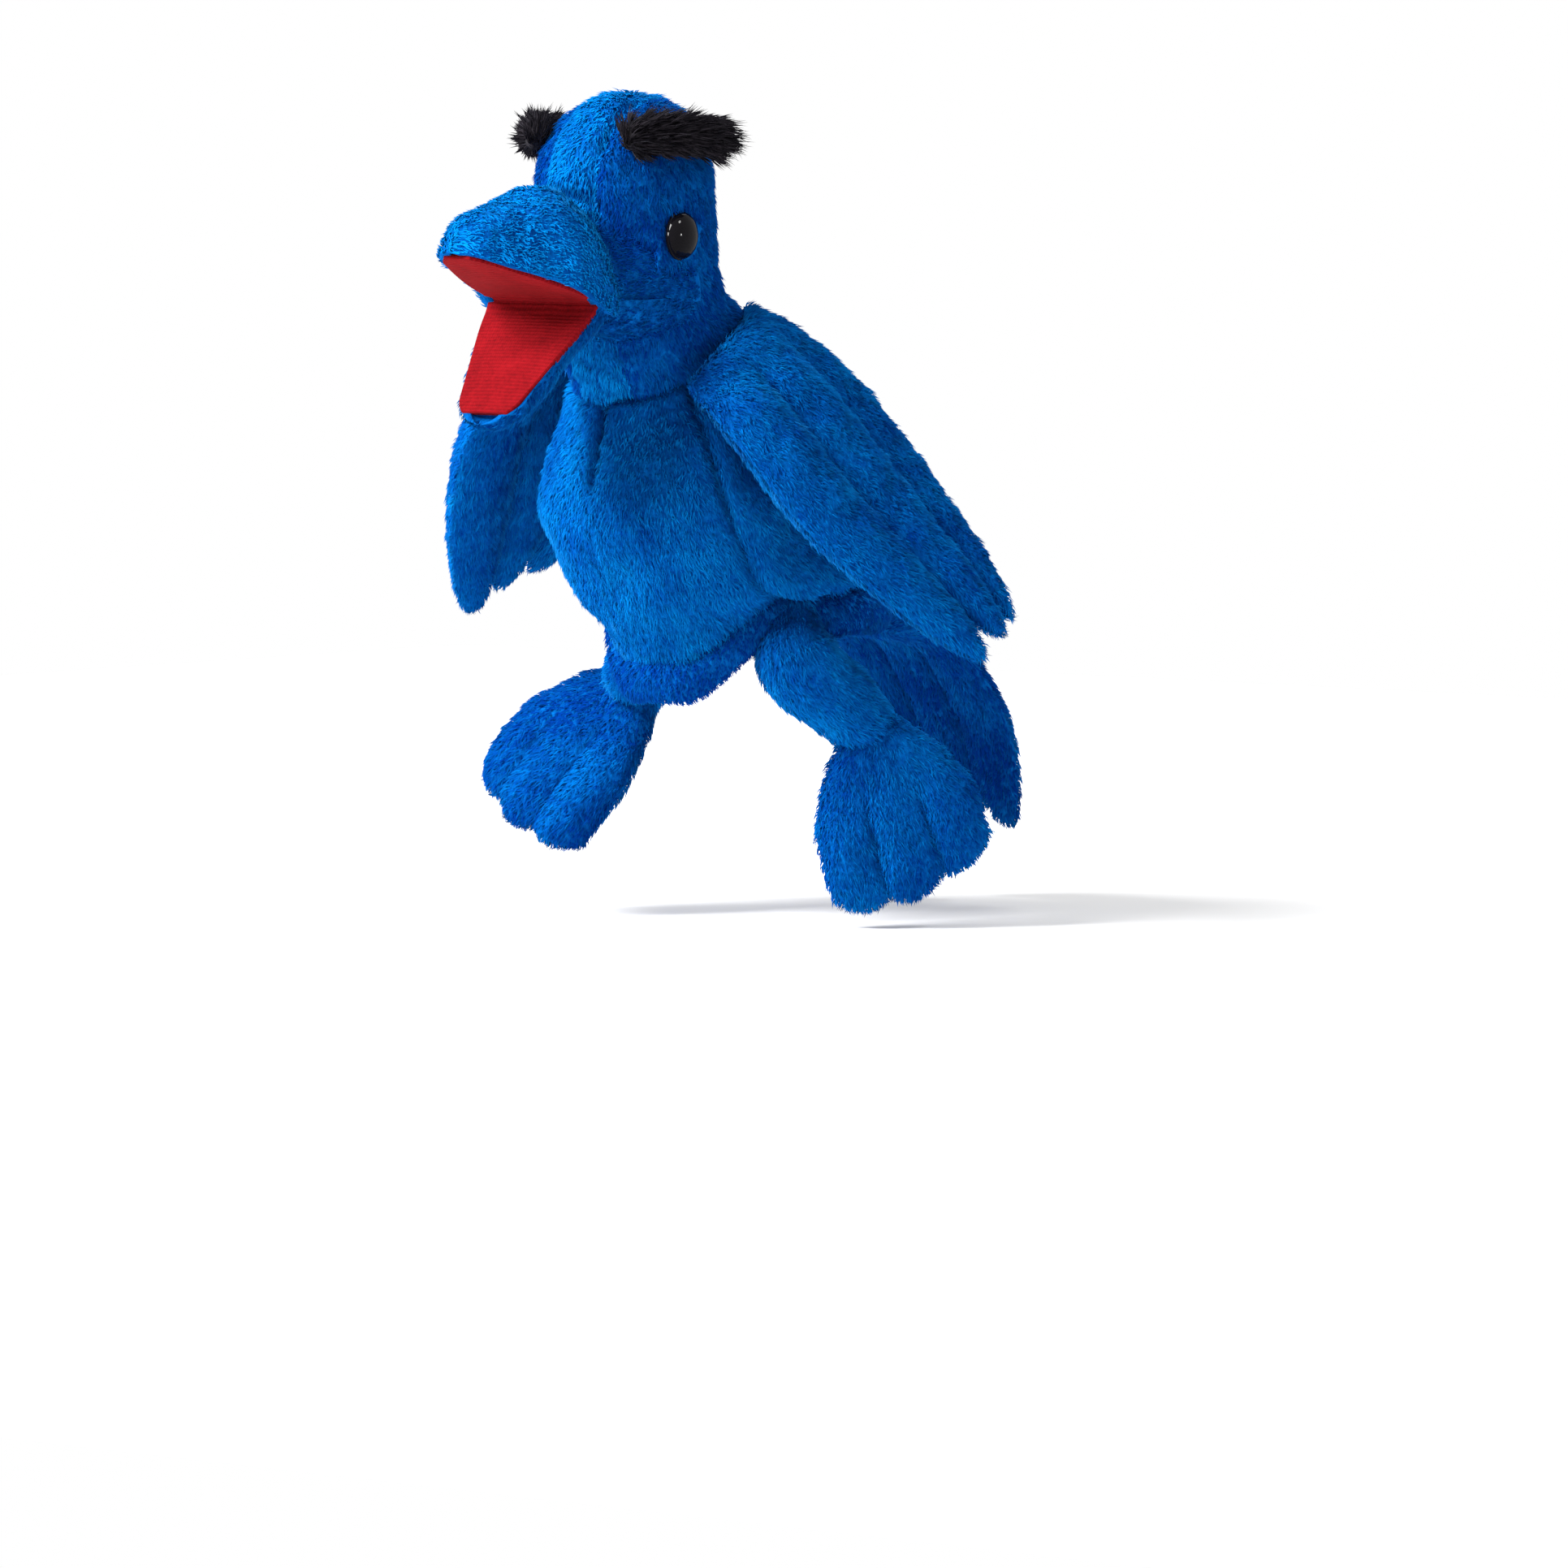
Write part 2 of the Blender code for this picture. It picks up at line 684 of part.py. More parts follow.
def build_legs():
    for side, sign in SIDES:
        ankle = np.array(ANKLE_LEFT if sign > 0 else ANKLE_RIGHT) * np.array((sign, 1, 1))
        hip = np.array(HIP) * np.array((sign, 1, 1))
        along = unit(ankle - hip)
        across = unit(np.cross(along, (0, 0, 1)))
        third = np.cross(along, across)
        reach = np.linalg.norm(ankle - hip) - ANKLE_CLEAR[side]

        def shaft(turn, up, inset=0.0, across=across, third=third, along=along, hip=hip, reach=reach):
            angle = 2 * math.pi * turn
            radius = (LEG_RADIUS - inset) * (1 - 0.1 * math.sin(math.pi * up))
            ring = across * math.cos(angle) + third * math.sin(angle)
            return hip + along * (reach * up) + ring * radius

        sheet(f"leg_{side}", shaft, (12, 3), PLUSH, blue, wrap=True, tip=hip + along * (reach + 0.4), pivot=hip)
        full = (reach - PLUSH - 0.9) / reach
        plug(
            f"leg_{side}_filling",
            lambda turn, up: shaft(turn, full * up, PLUSH + 0.4),
            (10, 2),
            fibre,
            hip + along * (reach * full),
            hip,
            pivot=hip,
        )


def build_feet():
    """Pads with three toes. The left foot hangs, facing out and forward; the right one points forward."""
    left_down = unit(np.array((0.28, 0.23, -0.92)))
    left_up = unit(np.array((0.643, -0.766, 0.0)))
    right_down = unit(np.array((-0.48, -0.5, -0.72)))
    right_up = unit(np.array((0.12, -0.88, 0.46)))
    poses = (("left", 1.0, ANKLE_LEFT, left_down, left_up), ("right", -1.0, ANKLE_RIGHT, right_down, right_up))
    for side, sign, place, toes, top in poses:
        ankle = np.array(place) * np.array((sign, 1, 1))
        across = unit(np.cross(toes, top))
        top = np.cross(across, toes)

        def middle(u, v, ankle=ankle, toes=toes, across=across, top=top):
            reach = 2.0 + v * (FOOT_LENGTH - 2.0) * scallop(min(max(u, 0.0), 1.0), 3, 0.17 * ease(0.4, 1.0, v))
            half = FOOT_HEEL + (FOOT_TOES - FOOT_HEEL) * ease(-0.1, 0.8, v)
            sideways = (2 * u - 1) * half
            fan = 1 - 0.12 * (2 * u - 1) ** 2 * v
            arch = 1.5 * math.sin(math.pi * v) - 2.0 * (2 * u - 1) ** 2 * v
            return ankle + toes * reach * fan + across * sideways + top * arch

        quilted(
            (f"foot_{side}_upper", f"foot_{side}_sole", f"foot_{side}_filling"),
            middle,
            surface_normal(middle, 1.0),
            FOOT_PAD,
            (9, 5),
            (blue, fibre),
            3,
            ankle,
        )


def build_tail():
    def middle(u, v):
        reach = v * scallop(min(max(u, 0.0), 1.0), 3, 0.1 * ease(0.4, 1.0, v))
        centre = smooth(TAIL_PATH, reach)
        half = smooth([(h,) for h in TAIL_HALF], v)[0]
        droop = -1.8 * (2 * u - 1) ** 2
        return centre + np.array((half * (1 - 2 * u), 0.0, droop))

    quilted(
        ("tail_top", "tail_under", "tail_batting"),
        middle,
        surface_normal(middle, 1.0),
        TAIL_PAD,
        (9, 5),
        (blue, fibre),
        3,
        TAIL_ROOT,
    )


build_body()
build_head()
build_eyes()
build_brows()
build_beak()
build_wings()
build_legs()
build_feet()
build_tail()
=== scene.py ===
"""The looks of a plush bird finger puppet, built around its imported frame. It faces -Y, its left side at +X.

Lengths are in millimetres unless a name says otherwise, and are scaled once, when a mesh is made.
"""

import json
import math

import bpy
import numpy as np
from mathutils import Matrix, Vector

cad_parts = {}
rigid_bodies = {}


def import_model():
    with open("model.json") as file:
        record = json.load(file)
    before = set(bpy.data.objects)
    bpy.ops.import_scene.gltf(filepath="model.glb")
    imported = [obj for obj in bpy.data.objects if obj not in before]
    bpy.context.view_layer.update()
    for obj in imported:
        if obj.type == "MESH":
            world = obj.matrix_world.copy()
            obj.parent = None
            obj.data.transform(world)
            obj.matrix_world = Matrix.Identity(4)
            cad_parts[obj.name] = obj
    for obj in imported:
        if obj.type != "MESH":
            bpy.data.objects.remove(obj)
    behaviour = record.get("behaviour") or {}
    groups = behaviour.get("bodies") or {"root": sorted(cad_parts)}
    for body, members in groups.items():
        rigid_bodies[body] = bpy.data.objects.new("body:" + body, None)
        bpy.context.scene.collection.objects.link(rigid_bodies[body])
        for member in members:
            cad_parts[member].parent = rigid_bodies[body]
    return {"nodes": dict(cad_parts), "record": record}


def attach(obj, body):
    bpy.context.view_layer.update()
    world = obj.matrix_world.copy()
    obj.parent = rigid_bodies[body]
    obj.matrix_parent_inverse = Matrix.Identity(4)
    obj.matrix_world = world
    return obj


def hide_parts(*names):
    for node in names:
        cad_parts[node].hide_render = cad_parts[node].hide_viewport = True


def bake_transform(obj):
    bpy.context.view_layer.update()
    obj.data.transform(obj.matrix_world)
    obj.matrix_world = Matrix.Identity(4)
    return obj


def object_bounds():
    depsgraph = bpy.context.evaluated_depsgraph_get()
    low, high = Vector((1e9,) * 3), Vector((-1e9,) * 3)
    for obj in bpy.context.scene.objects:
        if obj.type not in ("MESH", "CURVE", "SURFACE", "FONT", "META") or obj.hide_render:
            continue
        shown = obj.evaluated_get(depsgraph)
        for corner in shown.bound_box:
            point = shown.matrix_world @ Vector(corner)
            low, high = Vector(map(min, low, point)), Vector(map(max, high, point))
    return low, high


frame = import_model()
cad_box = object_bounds()

MM = 0.001

# ------------------------------------------------------------------------------------------------
# Studio: a pale sheet under the puppet, a large soft lamp high on its right, weaker ones on its left
# and behind it, white all round, and a camera with a long lens, a little above it on its left.

VIEW_AZIMUTH = math.radians(40)
VIEW_ELEVATION = math.radians(4)
VIEW_DISTANCE = 2.0  # metres
VIEW_WIDTH = 275.9  # how much of the puppet's own plane the picture takes in
VIEW_CENTRE = (6.2, -22.2)  # right of and above the finger opening

view_right = Vector((math.cos(VIEW_AZIMUTH), math.sin(VIEW_AZIMUTH), 0))
view_back = Vector((math.sin(VIEW_AZIMUTH), -math.cos(VIEW_AZIMUTH), 0))
to_camera = view_back * math.cos(VIEW_ELEVATION) + Vector((0, 0, math.sin(VIEW_ELEVATION)))
look_at = (view_right * VIEW_CENTRE[0] + Vector((0, 0, VIEW_CENTRE[1]))) * MM

lens = bpy.data.cameras.new("camera")
lens.lens = lens.sensor_width * VIEW_DISTANCE / (VIEW_WIDTH * MM)
camera = bpy.data.objects.new("camera", lens)
camera.location = look_at + to_camera * VIEW_DISTANCE
camera.rotation_euler = to_camera.to_track_quat("Z", "Y").to_euler()
bpy.context.scene.collection.objects.link(camera)
bpy.context.scene.camera = camera
bpy.context.scene.view_settings.view_transform = "Standard"


def add_lamp(name, place, size, power):
    """A square lamp of this size and place in metres, aimed at the puppet."""
    light = bpy.data.lights.new(name, "AREA")
    light.size = size
    light.energy = power
    lamp = bpy.data.objects.new(name, light)
    lamp.location = place
    lamp.rotation_euler = (Vector(place) - Vector((0, -0.02, 0.04))).to_track_quat("Z", "Y").to_euler()
    bpy.context.scene.collection.objects.link(lamp)


add_lamp("key_lamp", (-0.5, -1.2, 1.05), 0.7, 56.0)
add_lamp("side_lamp", (1.0, 0.25, 1.05), 0.26, 4.5)
add_lamp("back_lamp", (-0.3, 0.9, 1.1), 0.8, 8.0)
add_lamp("spark_lamp", (1.3, 0.35, 0.12), 0.11, 1.5)

world = bpy.data.worlds.new("studio")
bpy.context.scene.world = world
world.use_nodes = True
sky = world.node_tree.nodes["Background"].inputs
sky["Color"].default_value = (1.0, 1.0, 1.0, 1.0)
seen = world.node_tree.nodes.new("ShaderNodeLightPath")
brighter = world.node_tree.nodes.new("ShaderNodeMapRange")  # white where it is seen, dimmer as a light
brighter.inputs["To Min"].default_value = 0.42
brighter.inputs["To Max"].default_value = 1.0
world.node_tree.links.new(seen.outputs["Is Camera Ray"], brighter.inputs["Value"])
world.node_tree.links.new(brighter.outputs["Result"], sky["Strength"])

FLOOR_HALF = 0.6  # metres
FLOOR_DROP = 2.0  # millimetres below the lowest foot
floor_mesh = bpy.data.meshes.new("floor")
floor_z = cad_box[0][2] - FLOOR_DROP * MM
floor_corners = [(x * FLOOR_HALF, y * FLOOR_HALF, floor_z) for x, y in ((-1, -1), (1, -1), (1, 1), (-1, 1))]
floor_mesh.from_pydata(floor_corners, [], [(0, 1, 2, 3)])
floor = bpy.data.objects.new("floor", floor_mesh)
bpy.context.scene.collection.objects.link(floor)
floor.visible_glossy = False  # so that it doesn't grey the eyes


# ------------------------------------------------------------------------------------------------
# Finishes: the floor's matt paper comes first, with the class that all the node work uses.


class Wire:
    """A socket in a material's nodes. Sums and products of wires add Math nodes."""

    def __init__(self, tree, socket=None):
        self.tree = tree
        self.socket = socket

    def node(self, kind, settings=(), sockets=(), out=0):
        """A new node: its settings are set first, and then the values or links of its sockets."""
        made = self.tree.nodes.new(kind)
        for key, value in dict(settings).items():
            if key == "stops":
                ramp = made.color_ramp.elements
                while len(ramp) < len(value):
                    ramp.new(0.5)
                for stop, (place, colour) in zip(ramp, value):
                    stop.position = place
                    stop.color = (*colour, 1.0)
            else:
                setattr(made, key, value)
        for key, value in dict(sockets).items():
            if isinstance(value, Wire):
                self.tree.links.new(value.socket, made.inputs[key])
            else:
                made.inputs[key].default_value = value
        return Wire(self.tree, made.outputs[out])

    def maths(self, operation, first, second):
        return self.node("ShaderNodeMath", {"operation": operation}, {0: first, 1: second})

    def __add__(self, other):
        return self.maths("ADD", self, other)

    __radd__ = __add__

    def __mul__(self, other):
        return self.maths("MULTIPLY", self, other)

    __rmul__ = __mul__

    def noise(self, scale, detail=2.0, roughness=0.5):
        """Soft noise over a place, with this many features a metre."""
        sockets = {"Vector": self, "Scale": scale, "Detail": detail, "Roughness": roughness}
        return self.node("ShaderNodeTexNoise", {}, sockets)

    def stretched(self, scale):
        return self.node("ShaderNodeVectorMath", {"operation": "MULTIPLY"}, {0: self, 1: scale})

    def tinted(self, stops):
        return self.node("ShaderNodeValToRGB", {"stops": stops}, {0: self})

    def bump(self, distance, strength=1.0):
        return self.node("ShaderNodeBump", {}, {"Height": self, "Distance": distance, "Strength": strength})


def new_finish(name, plain):
    """A Principled material with these plain values: returns it, its shader, and where its surface lies."""
    material = bpy.data.materials.new(name)
    material.use_nodes = True
    shader = material.node_tree.nodes["Principled BSDF"]
    for key, value in plain.items():
        shader.inputs[key].default_value = (*value, 1.0) if isinstance(value, tuple) else value
    place = Wire(material.node_tree).node("ShaderNodeTexCoord", out="Object")
    return material, shader, place


def link(wire, shader, key):
    wire.tree.links.new(wire.socket, shader.inputs[key])


paper, shader, place = new_finish("matt_paper", {"Roughness": 0.9, "Specular IOR Level": 0.1})
link(place.noise(3.0).tinted(((0.3, (0.9, 0.9, 0.9)), (0.7, (0.94, 0.94, 0.94)))), shader, "Base Color")
floor_mesh.materials.append(paper)

# ------------------------------------------------------------------------------------------------
# Blue plush: polyester velboa with a 2 mm pile, used for every outer panel. Its backing carries a
# soft nap, and the pile stands on it as separate tufts that lean the way the cloth was brushed.

PLUSH_DARK = (0.0004, 0.035, 0.2)
PLUSH_MID = (0.0008, 0.08, 0.34)
PLUSH_LIGHT = (0.0015, 0.15, 0.52)
PLUSH_SHEEN = (0.02, 0.3, 0.8)


def plush_backing(name, painted_light=1.0):
    """The cloth under the pile: blotches, clumps and fine fibres that run up and down."""
    plain = {"Roughness": 0.9, "Specular IOR Level": 0.0, "Sheen Weight": 0.3, "Sheen Roughness": 0.5,
             "Sheen Tint": PLUSH_SHEEN}
    material, shader, place = new_finish(name, plain)
    blotch = place.noise(95.0, 2.0)
    clump = place.noise(560.0, 3.0, 0.6)
    fibre = place.stretched((1.0, 1.0, 0.3)).noise(2600.0, 2.0)
    shade = blotch * 0.3 + clump * 0.45 + fibre * 0.25
    # Its colours can be scaled lighter or darker for painted light and shade; the one backing made keeps them as
    # they are.
    colours = [tuple(painted_light * c for c in colour) for colour in (PLUSH_DARK, PLUSH_MID, PLUSH_LIGHT)]
    link(shade.tinted(((0.34, colours[0]), (0.5, colours[1]), (0.68, colours[2]))), shader, "Base Color")
    link((clump * 0.6 + fibre * 0.4).bump(0.5 * MM), shader, "Normal")
    return material


TUFT_SHADES = 6


def tuft_finishes(name, dark, light, sheen, roughness=0.75):
    """The shades of a pile, dark to light."""
    made = []
    for step in range(TUFT_SHADES):
        share = step / (TUFT_SHADES - 1)
        colour = tuple(a + (b - a) * share ** 1.3 for a, b in zip(dark, light))
        plain = {"Base Color": colour, "Roughness": roughness, "Specular IOR Level": 0.0,
                 "Sheen Weight": 0.3, "Sheen Roughness": 0.35, "Sheen Tint": sheen}
        made.append(new_finish(f"{name}_{step}", plain)[0])
    return made


plush = plush_backing("plush_backing")
blue_pile = tuft_finishes("blue_pile", (0.0003, 0.036, 0.26), (0.0012, 0.24, 0.7), PLUSH_SHEEN)


def through(rows, at):
    """Places at 0..1 on a smooth curve through the rows."""
    rows = np.array(rows, float)
    at = np.clip(at, 0, 1) * (len(rows) - 1)
    low = np.minimum(at.astype(int), len(rows) - 2)
    step = (at - low)[..., None]
    longer = np.vstack((2 * rows[0] - rows[1], rows, 2 * rows[-1] - rows[-2]))
    before, start, end, after = (longer[low + k] for k in range(4))
    twist = 3 * start - before - 3 * end + after
    turn = 2 * before - 5 * start + 4 * end - after
    return start + 0.5 * step * (end - before + step * (turn + step * twist))


def ease(low, high, value):
    share = np.clip((value - low) / (high - low), 0, 1)
    return share * share * (3 - 2 * share)


def groove(distance, width):
    """1 in the middle of a valley of this half width, falling to 0 at its sides."""
    return np.exp(-((distance / width) ** 2))


def drift(places, size, seed):
    """A smooth random value, about -1..1, that changes over this size."""
    rng = np.random.default_rng(seed)
    total = np.zeros(places.shape[:-1])
    for _ in range(7):
        wave = rng.normal(size=3)
        wave *= 2 * math.pi / (size * rng.uniform(0.7, 1.6)) / np.linalg.norm(wave)
        total += np.sin(places @ wave + rng.uniform(0, 2 * math.pi))
    return total / 3.0


def unit(vectors):
    return vectors / np.maximum(np.linalg.norm(vectors, axis=-1, keepdims=True), 1e-9)


class Cloth:
    """A grid of places over a sewn piece: u across its columns, v along its rows. It faces away from a
    place behind it, or the way its columns and rows turn if there is none."""

    def __init__(self, surface, steps, wrap=False, flip=False, nap=1.0, behind=None):
        wide, tall = steps
        self.wrap = wrap
        u = np.arange(wide if wrap else wide + 1) / wide
        v = np.arange(tall + 1) / tall
        self.u, self.v = np.meshgrid(u, v)
        self.places = surface(self.u, self.v)
        self.flip = flip
        self.nap = nap
        self.update()
        if behind is not None and ((self.places - np.array(behind)) * self.facing).sum() < 0:
            self.flip = not self.flip
            self.facing = -self.facing

    def update(self):
        """The directions in which the cloth faces and its pile runs."""
        if self.wrap:
            longer = np.concatenate((self.places[:, -1:], self.places, self.places[:, :1]), axis=1)
            across = np.gradient(longer, axis=1)[:, 1:-1]
        else:
            across = np.gradient(self.places, axis=1)
        along = np.gradient(self.places, axis=0)
        self.facing = unit(np.cross(across, along)) * (-1 if self.flip else 1)
        self.runs = unit(along) * self.nap

    def push(self, amount):
        """Moves the cloth out by this much at each place."""
        self.places = self.places + self.facing * amount[..., None]
        self.update()
        return self

    def cells(self):
        """The corners of every cell, counted round it."""
        tall, wide = self.places.shape[:2]
        at = np.arange(tall * wide).reshape(tall, wide)
        if self.wrap:
            at = np.concatenate((at, at[:, :1]), axis=1)
        quads = np.stack((at[:-1, :-1], at[:-1, 1:], at[1:, 1:], at[1:, :-1]), axis=-1).reshape(-1, 4)
        return quads[:, ::-1] if self.flip else quads


def add_mesh(name, places, corners, sizes, materials, shades=None):
    """A mesh from flat lists of face corners and of how many corners each face has."""
    mesh = bpy.data.meshes.new(name)
    mesh.vertices.add(len(places))
    mesh.vertices.foreach_set("co", (np.asarray(places, float) * MM).ravel())
    mesh.loops.add(len(corners))
    mesh.loops.foreach_set("vertex_index", np.asarray(corners, np.int32))
    mesh.polygons.add(len(sizes))
    mesh.polygons.foreach_set("loop_start", np.concatenate(([0], np.cumsum(sizes)[:-1])).astype(np.int32))
    mesh.polygons.foreach_set("use_smooth", np.ones(len(sizes), bool))
    for material in materials:
        if material is not None:
            mesh.materials.append(material)
    if shades is not None:
        mesh.polygons.foreach_set("material_index", np.asarray(shades, np.int32))
    mesh.update(calc_edges=True)
    made = bpy.data.objects.new(name, mesh)
    bpy.context.scene.collection.objects.link(made)
    return made


def add_cloth(name, cloth, under, material):
    """A closed piece between a cloth and the places under it, with its open edges closed."""
    count = cloth.places.shape[0] * cloth.places.shape[1]
    outer = cloth.cells()
    tall, wide = cloth.places.shape[:2]
    at = np.arange(count).reshape(tall, wide)
    edges = []
    if cloth.wrap:
        edges += [np.append(at[0], at[0, 0]), np.append(at[-1], at[-1, 0])[::-1]]
    else:
        edges.append(np.concatenate((at[0], at[1:, -1], at[-1, -2::-1], at[-2::-1, 0])))
    rims = [np.stack((line[1:], line[:-1], line[:-1] + count, line[1:] + count), axis=-1) for line in edges]
    rim = np.concatenate(rims)
    quads = np.concatenate((outer, outer[:, ::-1] + count, rim[:, ::-1] if cloth.flip else rim))
    places = np.concatenate((cloth.places.reshape(-1, 3), under.reshape(-1, 3)))
    return add_mesh(name, places, quads.ravel(), np.full(len(quads), 4), [material])


def add_panel(name, cloth, wall, material):
    return add_cloth(name, cloth, cloth.places - cloth.facing * wall, material)


def add_capped(name, cloth, material):
    """A wrapped piece whose first and last rows are each closed by one face."""
    tall, wide = cloth.places.shape[:2]
    cells = cloth.cells()
    caps = [np.arange(wide)[::-1], np.arange(wide) + wide * (tall - 1)]
    caps = [line[::-1] for line in caps] if cloth.flip else caps
    corners = np.concatenate((cells.ravel(), *caps))
    sizes = np.concatenate((np.full(len(cells), 4), (wide, wide)))
    return add_mesh(name, cloth.places.reshape(-1, 3), corners, sizes, [material])


TUFT_FACES = np.array([0, 1, 4, 3, 1, 2, 5, 4, 2, 0, 3, 5, 3, 4, 6, 4, 5, 6, 5, 3, 6, 2, 1, 0])
TUFT_SIZES = np.array([4, 4, 4, 3, 3, 3, 3])
TUFT_SINK = 0.3


def add_tufts(name, roots, facing, runs, reach, width, shade, finishes, lights):
    """Closed three-sided tufts: roots on the cloth, bending from facing over to runs.

    facing and runs hold how far each tuft stands and leans, and lights the way it catches the light."""
    count = len(roots)
    reach = reach[:, None]
    middle = roots + (facing * 1.25 + runs * 0.75) * (reach * 0.5)
    tip = roots + (facing + runs) * reach
    across = unit(np.cross(facing, runs))
    third = unit(np.cross(tip - roots, across))
    rings = []
    for centre, share in ((roots - unit(facing) * TUFT_SINK, 1.0), (middle, 0.85)):
        for corner in range(3):
            angle = corner * 2 * math.pi / 3
            spread = across * math.cos(angle) + third * math.sin(angle)
            rings.append(centre + spread * (width * share)[:, None])
    places = np.stack((*rings, tip), axis=1).reshape(-1, 3)
    corners = (TUFT_FACES[None, :] + 7 * np.arange(count)[:, None]).ravel()
    light = np.clip(shade, 0, len(finishes) - 1).astype(int)
    made = add_mesh(name, places, corners, np.tile(TUFT_SIZES, count), finishes, np.repeat(light, 7))
    made.data.normals_split_custom_set_from_vertices(np.repeat(unit(lights), 7, axis=0))
    return made


PILE_LENGTH = 1.75
PILE_WIDTH = 0.125
PILE_COUNT = 5.5  # tufts on each square millimetre
PILE_STAND, PILE_LEAN = 0.37, 0.8
WISP, SWIRL, PATCH = 2.2, 2.8, 12.0  # how far apart the pile parts, turns and changes shade


def add_pile(name, cloths, seed, length=PILE_LENGTH, painted_light=0.0, thin=None):
    """The pile of these cloths, made lighter or darker as a whole for painted light and shade. thin(places) is the
    share of tufts kept at each place.
    """
    rng = np.random.default_rng(seed)
    roots, facings, runs = [], [], []
    for cloth in cloths:
        cells = cloth.cells()
        flat = cloth.places.reshape(-1, 3)
        a, b, c, d = (flat[cells[:, k]] for k in range(4))
        area = 0.5 * np.linalg.norm(np.cross(c - a, d - b), axis=1)
        number = int(area.sum() * PILE_COUNT)
        chosen = rng.choice(len(cells), number, p=area / area.sum())
        s, t = rng.random((2, number, 1))
        shares = np.concatenate(((1 - s) * (1 - t), s * (1 - t), s * t, (1 - s) * t), axis=1)[..., None]
        roots.append((flat[cells[chosen]] * shares).sum(axis=1))
        facings.append((cloth.facing.reshape(-1, 3)[cells[chosen]] * shares).sum(axis=1))
        runs.append((cloth.runs.reshape(-1, 3)[cells[chosen]] * shares).sum(axis=1))
    roots, facing, runs = np.concatenate(roots), unit(np.concatenate(facings)), np.concatenate(runs)
    if thin is not None:
        kept = rng.random(len(roots)) < thin(roots)
        roots, facing, runs = roots[kept], facing[kept], runs[kept]
    runs = unit(runs - facing * (runs * facing).sum(axis=1, keepdims=True))
    side = np.cross(facing, runs)
    number = len(roots)
    wisp = drift(roots, WISP, seed + 1)
    swirl = drift(roots, SWIRL, seed + 2)
    patch = drift(roots, PATCH, seed + 3)
    lights = facing + runs * (0.16 * wisp + 0.1 * patch)[:, None] + side * (0.16 * swirl)[:, None]
    lights = lights + 0.12 * rng.normal(size=(number, 3))
    runs = unit(runs + side * (0.28 * swirl + 0.2 * rng.normal(size=number))[:, None])
    loose = np.where(rng.random(number) < 0.05, 1.35, 1.0)
    stand = PILE_STAND * loose * (1 + 0.2 * wisp + 0.15 * rng.normal(size=number))
    reach = length * (1 + 0.07 * wisp + 0.1 * rng.normal(size=number))
    width = PILE_WIDTH * rng.uniform(0.7, 1.3, number)
    # The lighter or darker step for the whole piece is painted light and shade; the noise is the pile's random
    # tone.
    shade = (TUFT_SHADES - 1) * (0.5 + painted_light + 0.14 * patch + 0.1 * wisp + 0.09 * rng.normal(size=number))
    return add_tufts(name, roots, facing * stand[:, None], runs * PILE_LEAN, np.maximum(reach, 0.6), width,
                     np.round(shade), blue_pile, lights)


def dress(piece, body=None, bend=None, stands_for=()):
    """Joins a piece to the frame: it rides on a body, or, given a bend, has its place baked into its mesh and rides
    on no body; the bend's bodies and points are not used.
    """
    if stands_for:
        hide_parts(*stands_for)
    if bend is None:
        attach(piece, body)
    else:
        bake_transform(piece)
    return piece


# ------------------------------------------------------------------------------------------------
# Body: a chest panel and a back panel of plush, sewn at both sides and stuffed round the finger
# sleeve. One dart shapes the chest under the throat. The panels stop at the collar seam.

PILE_STANDS = 1.1  # the pile stands this far above its backing
BACKING = 1.0
BODY_RINGS = (
    (2.0, 0.0, 23.5, 27.5, 0.1),
    (10.0, -4.0, 24.5, 27.0, 0.15),
    (20.0, -11.5, 25.5, 26.0, 0.2),
    (31.0, -18.0, 25.0, 25.0, 0.28),
    (41.0, -20.5, 22.0, 22.5, 0.38),
    (49.0, -22.8, 18.0, 18.0, 0.5),
    (54.5, -24.5, 15.4, 15.4, 0.5),
)  # height, y of the centre, half width, half depth, rise to the back
HEM_FRONT, HEM_BACK = -6.0, 5.5
HEM_HEIGHT = 6.5
IN_HEM = 1.5  # how far the panels run down inside the hem's roll
IN_BODY = (0, -12, 28)
SIDE_SEAM = math.radians(-30)
DART_LOW = 31.0


def ring(rings, up, angle, inset=0.0):
    """A place on a stack of leaning ellipses, up 0..1."""
    height, centre, half, depth, rise = np.moveaxis(through(rings, up), -1, 0)
    back = np.maximum(depth - inset, 0) * np.sin(angle)
    side = np.maximum(half - inset, 0) * np.cos(angle)
    return np.stack((side, centre + back, height + rise * back), axis=-1)


def hem_edge(angle):
    """Height of the hem's edge: a low apron in front, pulled up at the legs and behind."""
    from_front = np.abs((angle + math.pi / 2 + math.pi) % (2 * math.pi) - math.pi)
    return HEM_FRONT + (HEM_BACK - HEM_FRONT) * ease(math.radians(12), math.radians(66), from_front)


def torso(angle, up):
    """The body's backing, from inside the top of the hem to the collar."""
    places = ring(BODY_RINGS, up, angle, PILE_STANDS)
    settle = 1 - ease(0.0, 0.3, up)
    lowest = hem_edge(angle) + HEM_HEIGHT - IN_HEM
    places[..., 2] += settle * (lowest - ring(BODY_RINGS, 0 * up, angle)[..., 2])
    return places


